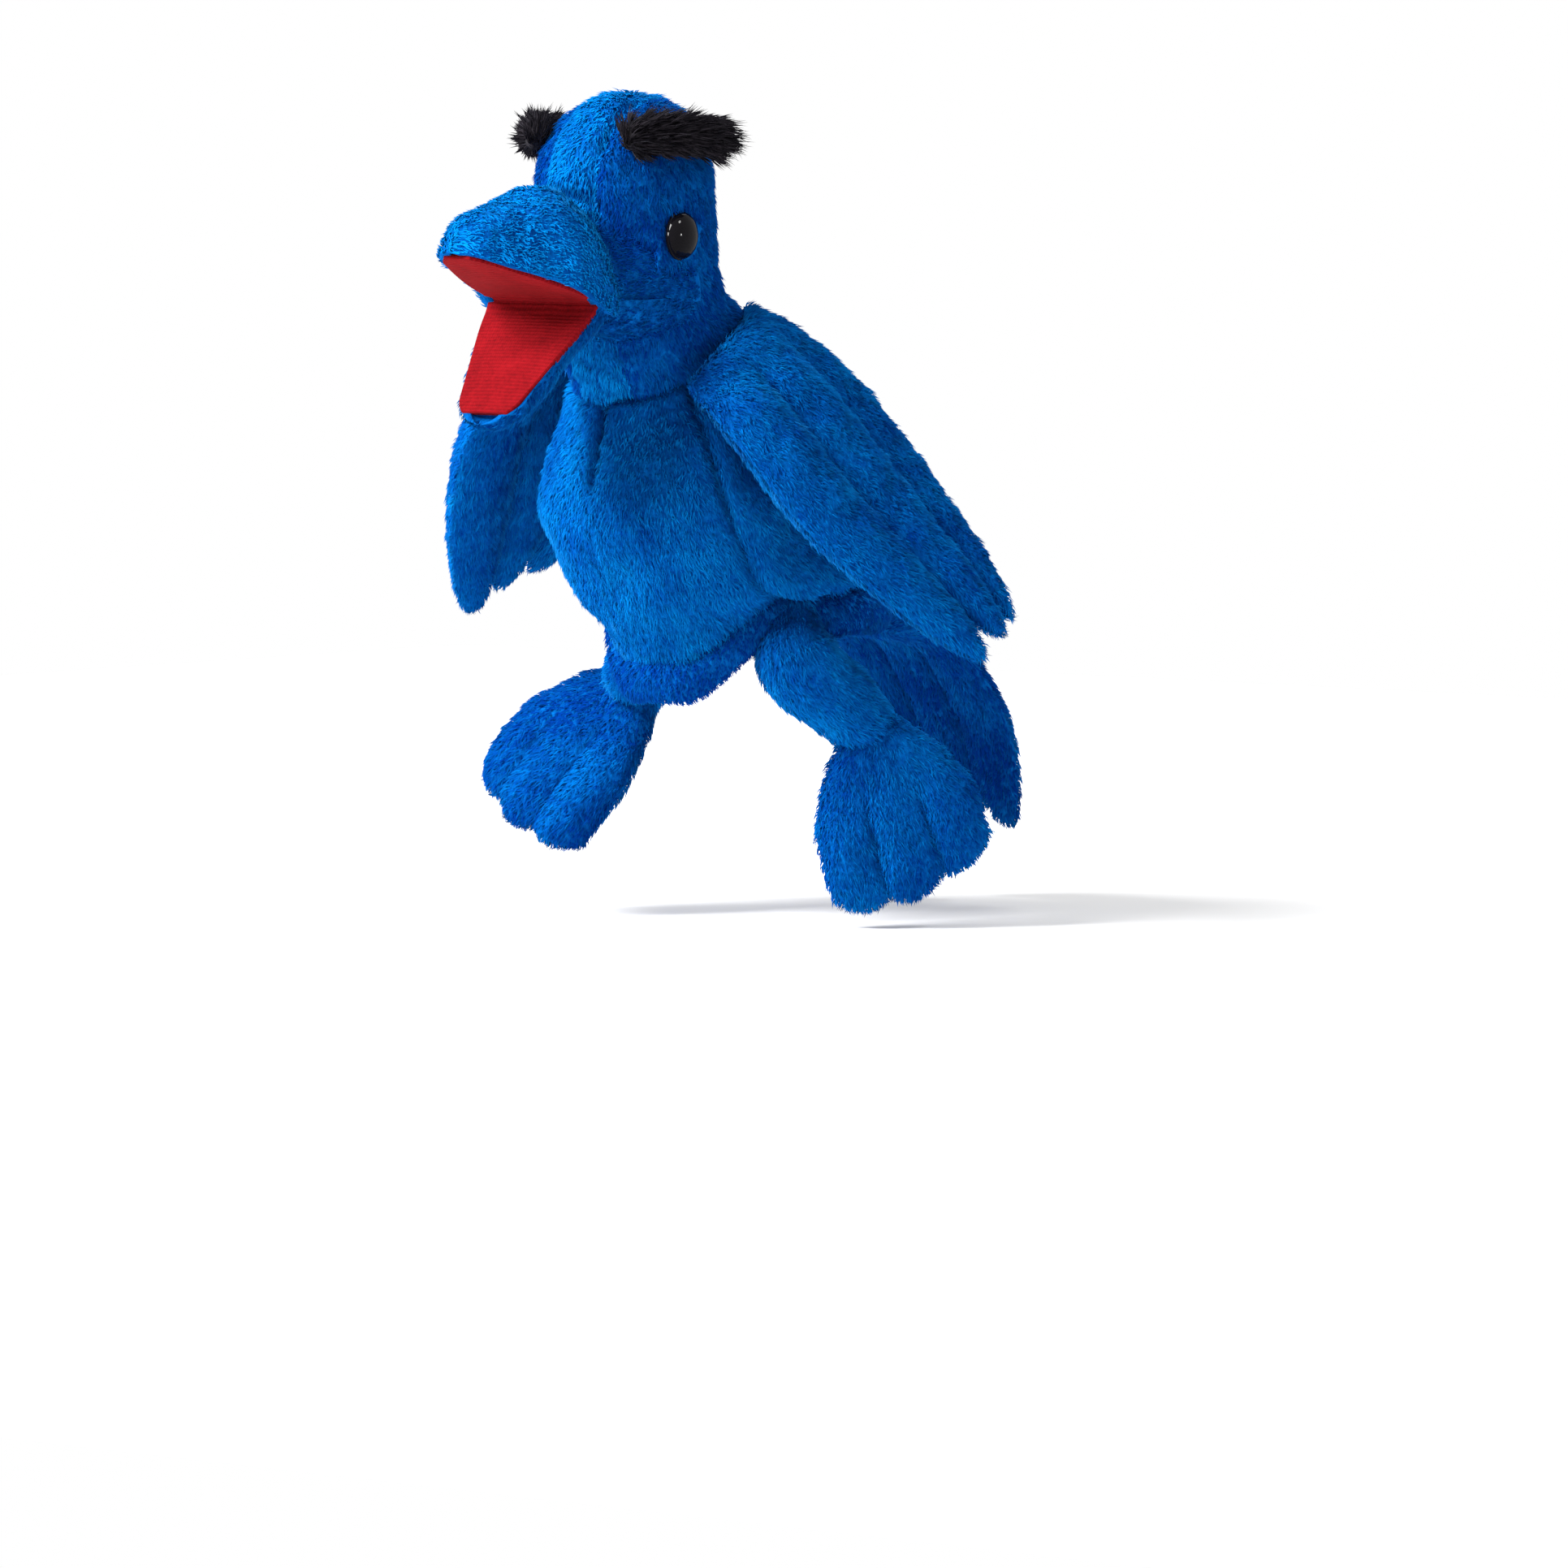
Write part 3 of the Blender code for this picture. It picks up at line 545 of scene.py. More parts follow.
def shaped_torso(start, end, columns):
    """One panel, between two angles, with the valleys of its seams and the chest's dart."""

    def panel(u, v):
        return torso(start + (end - start) * u, v)

    cloth = Cloth(panel, (columns, 110), nap=-1.0, behind=IN_BODY)
    places = cloth.places
    turn = start + (end - start) * cloth.u
    radius = np.linalg.norm(places[..., :2] - np.array((0.0, -15.0)), axis=-1)
    to_seam = np.minimum(np.abs(turn - start), np.abs(end - turn)) * radius
    height = places[..., 2]
    in_dart = ease(DART_LOW - 3, DART_LOW + 5, height) * (places[..., 1] < -20)
    push = -1.2 * groove(to_seam, 1.1) - 3.3 * in_dart * groove(places[..., 0], 1.0)
    push += 0.6 * in_dart * (groove(places[..., 0] - 3.2, 2.2) + groove(places[..., 0] + 3.2, 2.2))
    push += 0.3 * groove(to_seam - 4.0, 2.5) - 1.0 * (1 - ease(0.0, 0.25, cloth.v))
    push += 0.45 * drift(places, 17.0, 3) + 0.2 * drift(places * np.array((1, 1, 0.5)), 6.0, 4)
    push -= 1.6 * ease(0.93, 1.0, cloth.v)  # drawn in by the collar's stitches
    return cloth.push(push)


COLLAR = np.array((0.0, -24.5, 54.5))
COLLAR_UP = unit(np.array((0.0, -0.6, 1.0)))

chest = shaped_torso(math.pi - SIDE_SEAM, 2 * math.pi + SIDE_SEAM, 150)
back = shaped_torso(SIDE_SEAM, math.pi - SIDE_SEAM, 260)
chest_panel = add_panel("chest_panel", chest, BACKING, plush)
back_panel = add_panel("back_panel", back, BACKING, plush)
dress(chest_panel, "body", stands_for=["body_front"])
dress(back_panel, "body", stands_for=["body_back"])
STUFFING_ROWS = (0.32, 0.93)  # how far up the body the fibre reaches, 0..1
SLEEVE_RINGS = (
    (15.0, -7.5, 15.5, 16.5, 0.15),
    (23.0, -12.5, 12.2, 12.4, 0.25),
    (34.0, -18.5, 11.2, 11.2, 0.3),
    (42.5, -21.5, 10.9, 10.9, 0.35),
)


def stuffing_surface(u, v):
    angle = 2 * math.pi * u
    up = STUFFING_ROWS[0] + (STUFFING_ROWS[1] - STUFFING_ROWS[0]) * v
    places = ring(BODY_RINGS, up, angle, 4.2)
    at_dart = groove(places[..., 0], 2.0) * (places[..., 1] < -20)
    return places + np.array((0.0, 3.4, 0.0)) * at_dart[..., None]


fibre = Cloth(stuffing_surface, (120, 40), wrap=True, behind=IN_BODY)
round_sleeve = ring(SLEEVE_RINGS, fibre.v, 2 * math.pi * fibre.u)
body_fibre = add_cloth("body_fibre", fibre, round_sleeve, None)
dress(body_fibre, "body", stands_for=["body_stuffing"])
dress(add_pile("chest_pile", [chest], 11), "body")
dress(add_pile("back_left_pile", [back], 12, thin=lambda p: p[:, 0] >= 0), "body")
dress(add_pile("back_right_pile", [back], 12, thin=lambda p: p[:, 0] < 0), "body")

# ------------------------------------------------------------------------------------------------
# Hem: the panels' lower edge is turned up and sewn down round the finger opening, which makes a
# fat rolled band.

HEM_HALF_THICK, HEM_HALF_HEIGHT = 2.3, 3.7


def hem_surface(u, v):
    angle, round_it = 2 * math.pi * u, 2 * math.pi * v
    centre = ring(BODY_RINGS, 0 * u, angle, 2.9)
    outward = unit(ring(BODY_RINGS, 0 * u, angle, 0.0) - centre)
    bulge = 1 + 0.08 * np.sin(9 * angle + 1.0) * np.sin(4 * angle)
    places = centre + outward * (HEM_HALF_THICK * bulge * np.cos(round_it))[..., None]
    places[..., 2] = hem_edge(angle) + HEM_HEIGHT / 2 + HEM_HALF_HEIGHT * np.sin(round_it)
    places[..., 2] += 0.3 * np.sin(7 * angle)
    return places


def add_tube(name, cloth, material):
    """A ring-shaped piece whose rows meet: the last row lies on the first and is left out."""
    places = cloth.places[:-1].reshape(-1, 3)
    quads = cloth.cells() % len(places)
    return add_mesh(name, places, quads.ravel(), np.full(len(quads), 4), [material])


hem = Cloth(hem_surface, (320, 40), wrap=True, nap=-1.0)
hem_roll = add_tube("hem_roll", hem, plush)
dress(hem_roll, "body", stands_for=["hem_band"])
# Painted shade: the hem's pile is made darker.
dress(add_pile("hem_pile", [hem], 13, length=1.5, painted_light=-0.45), "body")

# ------------------------------------------------------------------------------------------------
# Head: two side panels and a crown gusset between them, sewn to the collar, stuffed round the
# pocket for the fingertip.

HEAD_RINGS = (
    (51.2, -23.6, 13.3, 13.3, 0.5),
    (54.8, -24.7, 14.9, 14.9, 0.5),
    (58.0, -27.0, 14.9, 14.9, 0.4),
    (63.5, -30.2, 15.3, 15.3, 0.15),
    (71.0, -32.8, 16.1, 16.2, 0.0),
    (79.0, -33.4, 16.3, 16.4, 0.0),
    (87.5, -33.2, 15.2, 15.6, 0.0),
    (94.2, -32.6, 12.2, 12.8, 0.0),
    (98.8, -31.8, 7.2, 7.8, 0.0),
    (100.4, -31.4, 0.0, 0.0, 0.0),
)
GUSSET_HALF = 5.5
MOUTH_FOLD = np.array((0.0, -54.0, 64.0))
NECK_BEND = ("body", "head", COLLAR - COLLAR_UP * 0.5, COLLAR + COLLAR_UP * 11)
EYE_PLACE = np.array((15.5, -35.0, 75.0))
EYE_CLEAR = 4.3  # no pile grows this near the middle of an eye


def from_eyes(places):
    """How far each place is from the nearer eye."""
    return np.linalg.norm(np.abs(places) * (1, 0, 0) + places * (0, 1, 1) - EYE_PLACE, axis=-1)


def head_surface(u, v):
    """Rows crowd towards the crown, where the rings close."""
    up = np.sin(v * math.pi / 2) ** 0.9
    return ring(HEAD_RINGS, up, 2 * math.pi * u + math.pi / 2, 0.0)


head = Cloth(head_surface, (300, 130), wrap=True, nap=-1.0, behind=(0, -31, 75))
centre = np.array((0.0, -31.0, 75.0))
inward = unit(head.places - centre)
head.places = head.places - inward * (PILE_STANDS * ease(0.1, 0.25, head.v))[..., None]
head.update()
head.facing[-1] = (0, 0, 1)
to_gusset = np.abs(np.abs(head.places[..., 0]) - GUSSET_HALF)
head_push = -0.7 * groove(to_gusset, 1.1) - 0.7 * groove(from_eyes(head.places), 4.2)
head_push += 0.3 * drift(head.places, 14.0, 7) + 0.15 * drift(head.places, 5.0, 8)
low, high = MOUTH_FOLD[2] - 0.5, 17.2
from_beak = np.sqrt((head.places[..., 0] / 12.9) ** 2 + ((head.places[..., 2] - low) / high) ** 2) - 1
at_beak = (head.places[..., 1] < -40) * (head.places[..., 2] > low)
head_push -= 2.0 * groove(from_beak * 15 - 0.6, 2.0) * at_beak
head_push -= 0.6 * groove(head.v - 0.075, 0.02)
head_push *= 1 - ease(0.97, 1.0, head.v)
head.push(head_push)
head.facing[-1] = (0, 0, 1)
head.runs[-1] = (0, 1, 0)


POCKET_RINGS = (
    (56.0, -26.5, 10.5, 10.5, 0.0),
    (74.0, -31.5, 10.5, 10.5, 0.0),
    (84.0, -32.5, 7.5, 7.5, 0.0),
)


def head_fibre_surface(u, v):
    return ring(HEAD_RINGS, 0.26 + 0.48 * v, 2 * math.pi * u, 4.3)


fibre = Cloth(head_fibre_surface, (90, 40), wrap=True, behind=(0, -31, 70))
head_fibre = add_cloth("head_fibre", fibre, ring(POCKET_RINGS, fibre.v, 2 * math.pi * fibre.u), None)
dress(head_fibre, "head", stands_for=["head_stuffing"])


class Part:
    """Some of a cloth's cells, as a cloth of their own for the pile."""

    def __init__(self, cloth, wanted):
        self.places, self.facing, self.runs = cloth.places, cloth.facing, cloth.runs
        cells = cloth.cells()
        middles = cloth.places.reshape(-1, 3)[cells].mean(axis=1)
        self.kept = cells[wanted(middles)]

    def cells(self):
        return self.kept


def add_part(name, part, wall, material):
    """The panel made of a part's cells, with a rim wherever a cell has no neighbour."""
    cells = part.kept
    flat, facing = part.places.reshape(-1, 3), part.facing.reshape(-1, 3)
    sides = np.concatenate([cells[:, [k, (k + 1) % 4]] for k in range(4)])
    sides = sides[sides[:, 0] != sides[:, 1]]
    key = np.sort(sides, axis=1) @ np.array((len(flat), 1))
    _, first, times = np.unique(key, return_index=True, return_counts=True)
    open_sides = sides[first[times == 1]]
    used = np.unique(cells)
    lookup = np.zeros(len(flat), int)
    lookup[used] = np.arange(len(used))
    cells, open_sides = lookup[cells], lookup[open_sides]
    count = len(used)
    first, second = open_sides.T
    rim = np.stack((second, first, first + count, second + count), axis=-1)
    quads = np.concatenate((cells, cells[:, ::-1] + count, rim))
    places = np.concatenate((flat[used], flat[used] - facing[used] * wall))
    made = add_mesh(name, places, quads.ravel(), np.full(len(quads), 4), [material])
    made.data.validate()
    return made


gusset = Part(head, lambda p: np.abs(p[:, 0]) < GUSSET_HALF)
head_left = Part(head, lambda p: p[:, 0] >= GUSSET_HALF)
head_right = Part(head, lambda p: p[:, 0] <= -GUSSET_HALF)
# Painted light and shade: the crown gusset's pile is made lighter, as the top of the head is lit, and the side
# panels' pile darker.
for name, part, node, painted_light, seed in (
    ("crown_gusset_cloth", gusset, "crown_gusset", 0.22, 21),
    ("head_left_cloth", head_left, "head_side_left", -0.33, 22),
    ("head_right_cloth", head_right, "head_side_right", -0.33, 23),
):
    panel = add_part(name, part, BACKING, plush)
    dress(panel, bend=NECK_BEND, stands_for=[node])
    pile = add_pile(name.replace("cloth", "pile"), [part], seed, painted_light=painted_light, thin=lambda p: from_eyes(p) > EYE_CLEAR)
    dress(pile, bend=NECK_BEND)

# ------------------------------------------------------------------------------------------------
# Beak: a stuffed plush cover over a board, sewn to the face. Its edge rounds over the face seam
# and its tip hooks down. The jaw is the same, squarer, and its cloth runs on into the throat.

FOLD_START = 1.2
UPPER_LENGTH, UPPER_PITCH = 26.8, math.radians(18)
UPPER_HALF = (12.6, 12.0, 10.6, 8.6, 6.2, 3.6)
UPPER_HEIGHT = (17.4, 17.0, 15.4, 12.8, 9.4, 5.4)
JAW_LENGTH, JAW_PITCH = 27.5, math.radians(-49)
JAW_HALF = (12.6, 11.8, 10.6, 9.3, 8.0, 6.4)
JAW_HEIGHT = (7.0, 6.9, 6.6, 6.1, 5.5, 4.6)


class Half:
    """One half of the beak: its directions, and places on it across, along and away from the lining."""

    def __init__(self, pitch, length, halves, heights, outward):
        self.forward = np.array((0.0, -math.cos(pitch), math.sin(pitch)))
        self.away = np.array((0.0, self.forward[2], -self.forward[1])) * outward
        self.length = length
        self.halves = [(h,) for h in halves]
        self.heights = [(h,) for h in heights]

    def taper(self, along):
        """How the outline closes as a rounded tip."""
        return np.sqrt(np.maximum(1 - np.maximum((along - 0.8) / 0.2, 0) ** 2, 0))

    def place(self, across, along, height, inset=0.0):
        half = np.maximum(through(self.halves, along)[..., 0] * self.taper(along) - inset, 0.05)
        reach = FOLD_START + along * (self.length - FOLD_START - inset)
        sideways = np.stack((across * half, 0 * half, 0 * half), axis=-1)
        return MOUTH_FOLD + self.forward * reach[..., None] + sideways + self.away * height[..., None]

    def cover(self, turn, along, inset=0.0, low=0.0):
        """turn runs from one side over the back of this half to the other, 0..pi."""
        top = through(self.heights, along)[..., 0] * self.taper(along) ** 0.7 - inset
        height = low + (np.maximum(top, 0.05) - low) * np.sin(turn) ** 0.9
        return self.place(np.cos(turn), along, height, inset)


upper = Half(UPPER_PITCH, UPPER_LENGTH, UPPER_HALF, UPPER_HEIGHT, 1.0)
jaw = Half(JAW_PITCH, JAW_LENGTH, JAW_HALF, JAW_HEIGHT, -1.0)
LIP = 0.12  # the share of the beak's length that rounds over the face seam
OVER_FACE = 0.26  # how far the cover runs back past the fold, as a share of its length
BEAK_CLOTH = 2.4


def toward_tip(v):
    """Rows crowd towards the tip, where the outline closes."""
    return 0.9995 - 0.9995 * (1 - v) ** 1.6


def upper_surface(u, v):
    turn = math.pi * (1 - u)
    along = -OVER_FACE + (1 + OVER_FACE) * toward_tip(v)
    rolled = 0.8 + 0.2 * np.sqrt(np.maximum(1 - (1 - np.minimum(v / LIP, 1)) ** 2, 0))
    lobe = 1 - ease(0.06, 0.22, v)
    places = upper.cover(turn, along, 0.3, 0.5 - 1.9 * lobe)
    places[..., 0] *= 1 + 0.07 * lobe * (1 - np.sin(turn))
    axis = upper.place(0 * u, along, 4.0 + 0 * u)
    rolled = 1 - (1 - rolled) * (0.3 + 0.7 * np.sin(turn))
    places = axis + (places - axis) * (rolled * (1 + 0.06 * groove(v - 0.2, 0.15)))[..., None]
    places = places + upper.forward * (5.2 * (1 - ease(0, 0.5, v)) * np.sin(turn))[..., None]
    return places + upper.away * (1.8 * ease(0.55, 1.0, v) * np.sin(turn))[..., None]


def turned_under(cloth, half):
    """The places under a cover's cloth, which faces forward and thins where its tip closes."""
    near = ease(0.86, 1.0, cloth.v)[..., None]
    cloth.facing = unit(cloth.facing * (1 - near) + half.forward * near)
    edge = 1 - ease(0.0, 0.1, cloth.v)[..., None]
    return cloth.places - cloth.facing * BEAK_CLOTH * (1 - 0.93 * near) * (1 - 0.6 * edge)


BEHIND_FACE = (0, -34, 68)
beak = Cloth(upper_surface, (150, 90), behind=(0, -60, 70))
beak.push(0.25 * drift(beak.places, 9.0, 31) + 0.12 * drift(beak.places, 4.0, 32))
beak_cover = add_cloth("beak_cover", beak, turned_under(beak, upper), plush)
dress(beak_cover, "head", stands_for=["beak_upper_cover"])
# Painted light: the beak's pile is made lighter, as its top is lit from above.
dress(add_pile("beak_pile", [beak], 31, length=1.4, painted_light=0.3), "head")

FACE_ROWS = (
    (-31.0, 15.4, 17.0),
    (-36.0, 14.7, 17.3),
    (-41.0, 13.1, 16.9),
    (-46.0, 11.4, 15.8),
    (-51.5, 10.4, 14.2),
)  # y, half width and height above the fold of the side panels, as they run on under the beak's edge


def face_surface(u, v):
    y, half, tall = np.moveaxis(through(FACE_ROWS, v), -1, 0)
    turn = math.pi * (1 - u)
    rise = 0.31 * (tall * np.sin(turn)) * ease(0.4, 1.0, v)
    return np.stack((half * np.cos(turn), y + rise, 63.6 + tall * np.sin(turn) ** 0.9), axis=-1)


face = Cloth(face_surface, (120, 40), behind=BEHIND_FACE)
face_cloth = add_panel("face_cloth", face, 0.8, plush)
dress(face_cloth, "head")
# Painted shade: the face under the beak's edge gets darker pile.
dress(add_pile("face_pile", [face], 34, painted_light=-0.33), "head")

THROAT_SHARE = 0.42  # the share of the jaw cloth's rows that run back into the throat
THROAT_ROWS = (
    (-31.0, 64.2, 15.2, 11.0, 0.0),
    (-37.0, 64.2, 14.7, 10.8, 0.1),
    (-43.5, 64.1, 13.4, 8.6, 0.4),
    (-49.5, 64.0, 12.4, 7.4, 0.8),
    (-54.2, 63.6, 12.3, 6.9, 1.0),
)  # y, height of the top, half width, depth, and how far its depth has turned from down to the jaw's own


def jaw_surface(u, v):
    turn = math.pi * u
    along = toward_tip(np.clip((v - THROAT_SHARE) / (1 - THROAT_SHARE), 0, 1))
    on_jaw = jaw.cover(turn, along, 0.5, 0.5)
    y, top, half, depth, turned = np.moveaxis(through(THROAT_ROWS, np.clip(v / THROAT_SHARE, 0, 1)), -1, 0)
    down = unit(np.array((0.0, -0.05, -1.0)) * (1 - turned[..., None]) + jaw.away * turned[..., None])
    drop = depth * np.sin(turn) ** 0.9
    in_throat = np.stack((half * np.cos(turn), y, top), axis=-1) + down * drop[..., None]
    share = ease(THROAT_SHARE - 0.06, THROAT_SHARE + 0.06, v)[..., None]
    return in_throat * (1 - share) + on_jaw * share


jaw_cloth = Cloth(jaw_surface, (150, 130), behind=(0, -52, 66))
jaw_cloth.push(0.25 * drift(jaw_cloth.places, 9.0, 33) + 0.12 * drift(jaw_cloth.places, 4.0, 34))
JAW_BEND = ("head", "jaw", (0.0, -45.0, 60.0), (0.0, -54.5, 56.5))
jaw_cover = add_cloth("jaw_cover", jaw_cloth, turned_under(jaw_cloth, jaw), plush)
dress(jaw_cover, bend=JAW_BEND, stands_for=["beak_lower_cover"])
# Painted shade: the jaw and throat, under the beak, get darker pile.
dress(add_pile("jaw_pile", [jaw_cloth], 32, length=1.5, painted_light=-0.26), bend=JAW_BEND)

# ------------------------------------------------------------------------------------------------
# Mouth lining: one piece of brushed red rib knit, glued to the boards and folded at the back of
# the mouth. Its ribs run across.

RIB = 0.85
LINING_THICK = 1.0


def knit_finish():
    plain = {"Roughness": 0.95, "Specular IOR Level": 0.05, "Sheen Weight": 0.15, "Sheen Roughness": 0.5,
             "Sheen Tint": (1.0, 0.1, 0.1)}
    material, shader, place = new_finish("red_brushed_knit", plain)
    spread = place.node("ShaderNodeUVMap", {"uv_map": "cloth"})
    wavy = spread.node("ShaderNodeVectorMath", {"operation": "ADD"},
                       {0: spread, 1: place.noise(300.0).tinted(((0, (0, 0, 0)), (1, (0.0, 0.4, 0))))})
    ribs = wavy.node("ShaderNodeTexWave", {"bands_direction": "Y", "wave_profile": "SIN"},
                     {"Vector": wavy, "Scale": 2 * math.pi / RIB / 20, "Distortion": 0.0})
    loops = wavy.node("ShaderNodeTexWave", {"bands_direction": "X", "wave_profile": "SIN"},
                      {"Vector": wavy, "Scale": 2 * math.pi / 0.6 / 20, "Distortion": 0.0})
    fuzz = place.noise(1500.0, 4.0, 0.7)
    blotch = place.noise(220.0, 2.0)
    shade = ribs * 0.12 + loops * 0.04 + fuzz * 0.5 + blotch * 0.34
    stops = ((0.25, (0.1, 0.0015, 0.004)), (0.5, (0.21, 0.0035, 0.007)), (0.8, (0.34, 0.007, 0.012)))
    link(shade.tinted(stops), shader, "Base Color")
    link((ribs * 0.5 + loops * 0.15 + fuzz * 0.35).bump(0.16 * MM), shader, "Normal")
    return material


def lining_surface(u, v):
    """From the upper tip at v 0, through the fold at 0.5, to the lower tip at 1."""
    across = 2 * u - 1
    reach = np.abs(2 * v - 1)
    pillow = 0.5 * (1 - across ** 2) * np.sin(math.pi * np.clip(reach, 0, 1))
    upper_places = upper.place(across * (1 - 0.08 * reach), 0.93 * reach, -0.1 - pillow, 0.5)
    lower_places = jaw.place(across * (1 - 0.12 * reach ** 1.5), 0.91 * reach, -0.1 - pillow, 0.3)
    places = np.where((v < 0.5)[..., None], upper_places, lower_places)
    fold = 1 - ease(0.0, 0.1, reach)
    middle = MOUTH_FOLD + np.array((0.0, -0.9, -0.3)) + np.stack((across * 12.4, 0 * u, 0 * u), axis=-1)
    return places * (1 - fold[..., None]) + middle * fold[..., None]


knit = knit_finish()
mouth = Cloth(lining_surface, (60, 160), behind=(0, -34, 64))
mouth_lining = add_cloth("mouth_lining", mouth, mouth.places - mouth.facing * LINING_THICK, knit)
cloth_map = mouth_lining.data.uv_layers.new(name="cloth")
laid = np.stack((mouth.u * 24, mouth.v * 54), axis=-1).reshape(-1, 2)
laid = np.concatenate((laid, laid))
corner_places = np.empty(len(mouth_lining.data.loops), np.int32)
mouth_lining.data.loops.foreach_get("vertex_index", corner_places)
cloth_map.data.foreach_set("uv", laid[corner_places].ravel())
MOUTH_BEND = ("head", "jaw", (0.0, -54.0, 64.6), (0.0, -54.0, 61.4))
dress(mouth_lining, bend=MOUTH_BEND, stands_for=["palate_upper", "palate_lower"])

# ------------------------------------------------------------------------------------------------
# Eyes: black plastic domes with a thin rim, pushed through the side panels on a shank and locked
# inside by a washer.

EYE_RADIUS, EYE_DOME = 4.1, 2.1
EYE_SUNK = 0.9
EYE_TURN = math.radians(7)
eye_black, shader, place = new_finish("eye_black", {"Base Color": (0.004, 0.0035, 0.005),
                                                    "Specular IOR Level": 0.2})
link(place.noise(500.0, 3.0) * 0.06 + 0.03, shader, "Roughness")

EYE_COLUMNS = 64
RIM, SHANK, SHANK_END = EYE_RADIUS + 0.22, 1.2, -5.0

for side, sign in (("left", 1.0), ("right", -1.0)):
    axis = np.array((sign * math.cos(EYE_TURN), math.sin(EYE_TURN), 0.0))
    across = unit(np.cross((0.0, 0.0, 1.0), axis))
    third = np.cross(axis, across)
    tilts = np.linspace(0.02, math.pi / 2, 14)
    outline = [(EYE_RADIUS * math.sin(tilt), EYE_DOME * math.cos(tilt)) for tilt in tilts]
    outline += [(RIM, -0.1), (RIM, -0.45), (SHANK, -0.6), (SHANK, SHANK_END), (0.02, SHANK_END)]
    turns = np.linspace(0, 2 * math.pi, EYE_COLUMNS, endpoint=False)[:, None]
    around = across * np.cos(turns) + third * np.sin(turns)
    seat = EYE_PLACE * (sign, 1, 1)
    rows = np.array([seat + axis * (height - EYE_SUNK) + around * radius for radius, height in outline])
    dome = Cloth(lambda u, v: rows, (EYE_COLUMNS, len(rows) - 1), wrap=True, behind=seat - axis * 3)
    eye = add_capped(f"eye_dome_{side}", dome, eye_black)
    eye.data.set_sharp_from_angle(angle=math.radians(50))
    dress(eye, "head", stands_for=[f"eye_{side}"])

# ------------------------------------------------------------------------------------------------
# Brows: strips of black long-pile fur sewn on above the eyes. The strands lie back along the
# strip and splay at its ends.

BROW_PATH = (
    (8.8, -46.0, 91.4),
    (14.2, -40.8, 92.4),
    (17.3, -34.5, 92.2),
    (18.5, -29.6, 91.4),
    (18.6, -25.6, 90.2),
)
BROW_HALF = 2.7
BROW_COLUMNS, BROW_ROWS = 28, 60
BROW_STRANDS = 3600
FUR_DARK, FUR_LIGHT, FUR_SHEEN = (0.003, 0.0028, 0.004), (0.03, 0.026, 0.032), (0.1, 0.1, 0.12)
fur_shades = tuft_finishes("black_strand", FUR_DARK, FUR_LIGHT, FUR_SHEEN, 0.55)
core_fur, shader, place = new_finish("black_backing", {"Roughness": 0.85, "Specular IOR Level": 0.2})
streaks = place.stretched((0.4, 0.4, 1.0)).noise(2400.0, 3.0)
link(streaks.tinted(((0.3, (0.004, 0.0035, 0.005)), (0.75, (0.03, 0.027, 0.033)))), shader, "Base Color")
link(streaks.bump(0.4 * MM), shader, "Normal")

for side, sign in (("left", 1.0), ("right", -1.0)):
    path = [(sign * x, y, z) for x, y, z in BROW_PATH]

    def brow_surface(u, v):
        v = 0.05 + 0.7 * v
        centre = through(path, v)
        along = unit(through(path, v + 0.02) - through(path, v - 0.02))
        out = unit(centre - np.array((0.0, -32.0, 88.0)))
        out = unit(out - along * (out * along).sum(axis=-1, keepdims=True))
        high = np.cross(along, out) * sign
        angle = 2 * math.pi * u
        round_end = np.sqrt(np.clip(1 - ((v - 0.4) / 0.355) ** 10, 0.02, 1))
        radius = (BROW_HALF * round_end)[..., None]
        return centre + radius * (out * np.cos(angle)[..., None] * 0.75 + high * np.sin(angle)[..., None])

    core = Cloth(brow_surface, (BROW_COLUMNS, BROW_ROWS), wrap=True, behind=(sign * 15.0, -33.0, 90.0))
    strip = add_capped(f"brow_strip_{side}", core, core_fur)
    dress(strip, "head", stands_for=[f"brow_{side}"])

    rng = np.random.default_rng(41)
    rows = rng.integers(0, BROW_ROWS + 1, BROW_STRANDS)
    columns = rng.integers(0, BROW_COLUMNS, BROW_STRANDS)
    roots, facing, runs = (grid[rows, columns] for grid in (core.places, core.facing, core.runs))
    roots = roots + rng.normal(size=roots.shape) * 0.12
    share = rows / BROW_ROWS
    inner_end = share < 0.05
    clumps = np.stack([drift(roots, 1.7, 43 + k) for k in range(3)], axis=-1)
    runs = np.where(inner_end[:, None], np.array((0.0, 0.0, 0.9)) + runs * 0.1, runs)
    runs = unit(runs + 0.3 * clumps + 0.08 * rng.normal(size=roots.shape))
    loose = groove(share - 1.0, 0.14) - 0.5 * inner_end
    reach = (3.6 + 1.6 * loose) * rng.uniform(0.7, 1.2, BROW_STRANDS)
    stand = 0.3 + 0.35 * np.maximum(loose, 0) * rng.random(BROW_STRANDS)
    shade = np.round(rng.uniform(0, 4.4, BROW_STRANDS))
    lights = facing + 0.5 * rng.normal(size=roots.shape)
    width = np.full(BROW_STRANDS, 0.14)
    name = f"brow_strands_{side}"
    facing, runs = facing * stand[:, None], runs * 0.85
    strands = add_tufts(name, roots, facing, runs, reach, width, shade, fur_shades, lights)
    dress(strands, "head")

# ------------------------------------------------------------------------------------------------
# Wings: two layers of plush with batting between them, quilted into three feathers by sewn
# channels. Each hangs from a slanting seam at the shoulder.

WING_LEADING = ((16.8, -36.5, 49.0), (30.5, -39.0, 39.5), (42.5, -30.5, 22.0), (58.5, -9.5, 0.5))
WING_TRAILING = ((8.5, -11.5, 62.2), (17.5, -0.5, 50.2), (32.0, 5.5, 33.0), (55.0, 5.0, 10.0))
WING_BULGE = 5.0
WING_PAD = 3.8
WING_WARP = 0.95
WING_SHARE = {"left": 1.0, "right": 0.93}  # how much of its full length each wing has
CHANNELS = 3
QUILT_EDGE = 0.9  # half the thickness where a channel is sewn


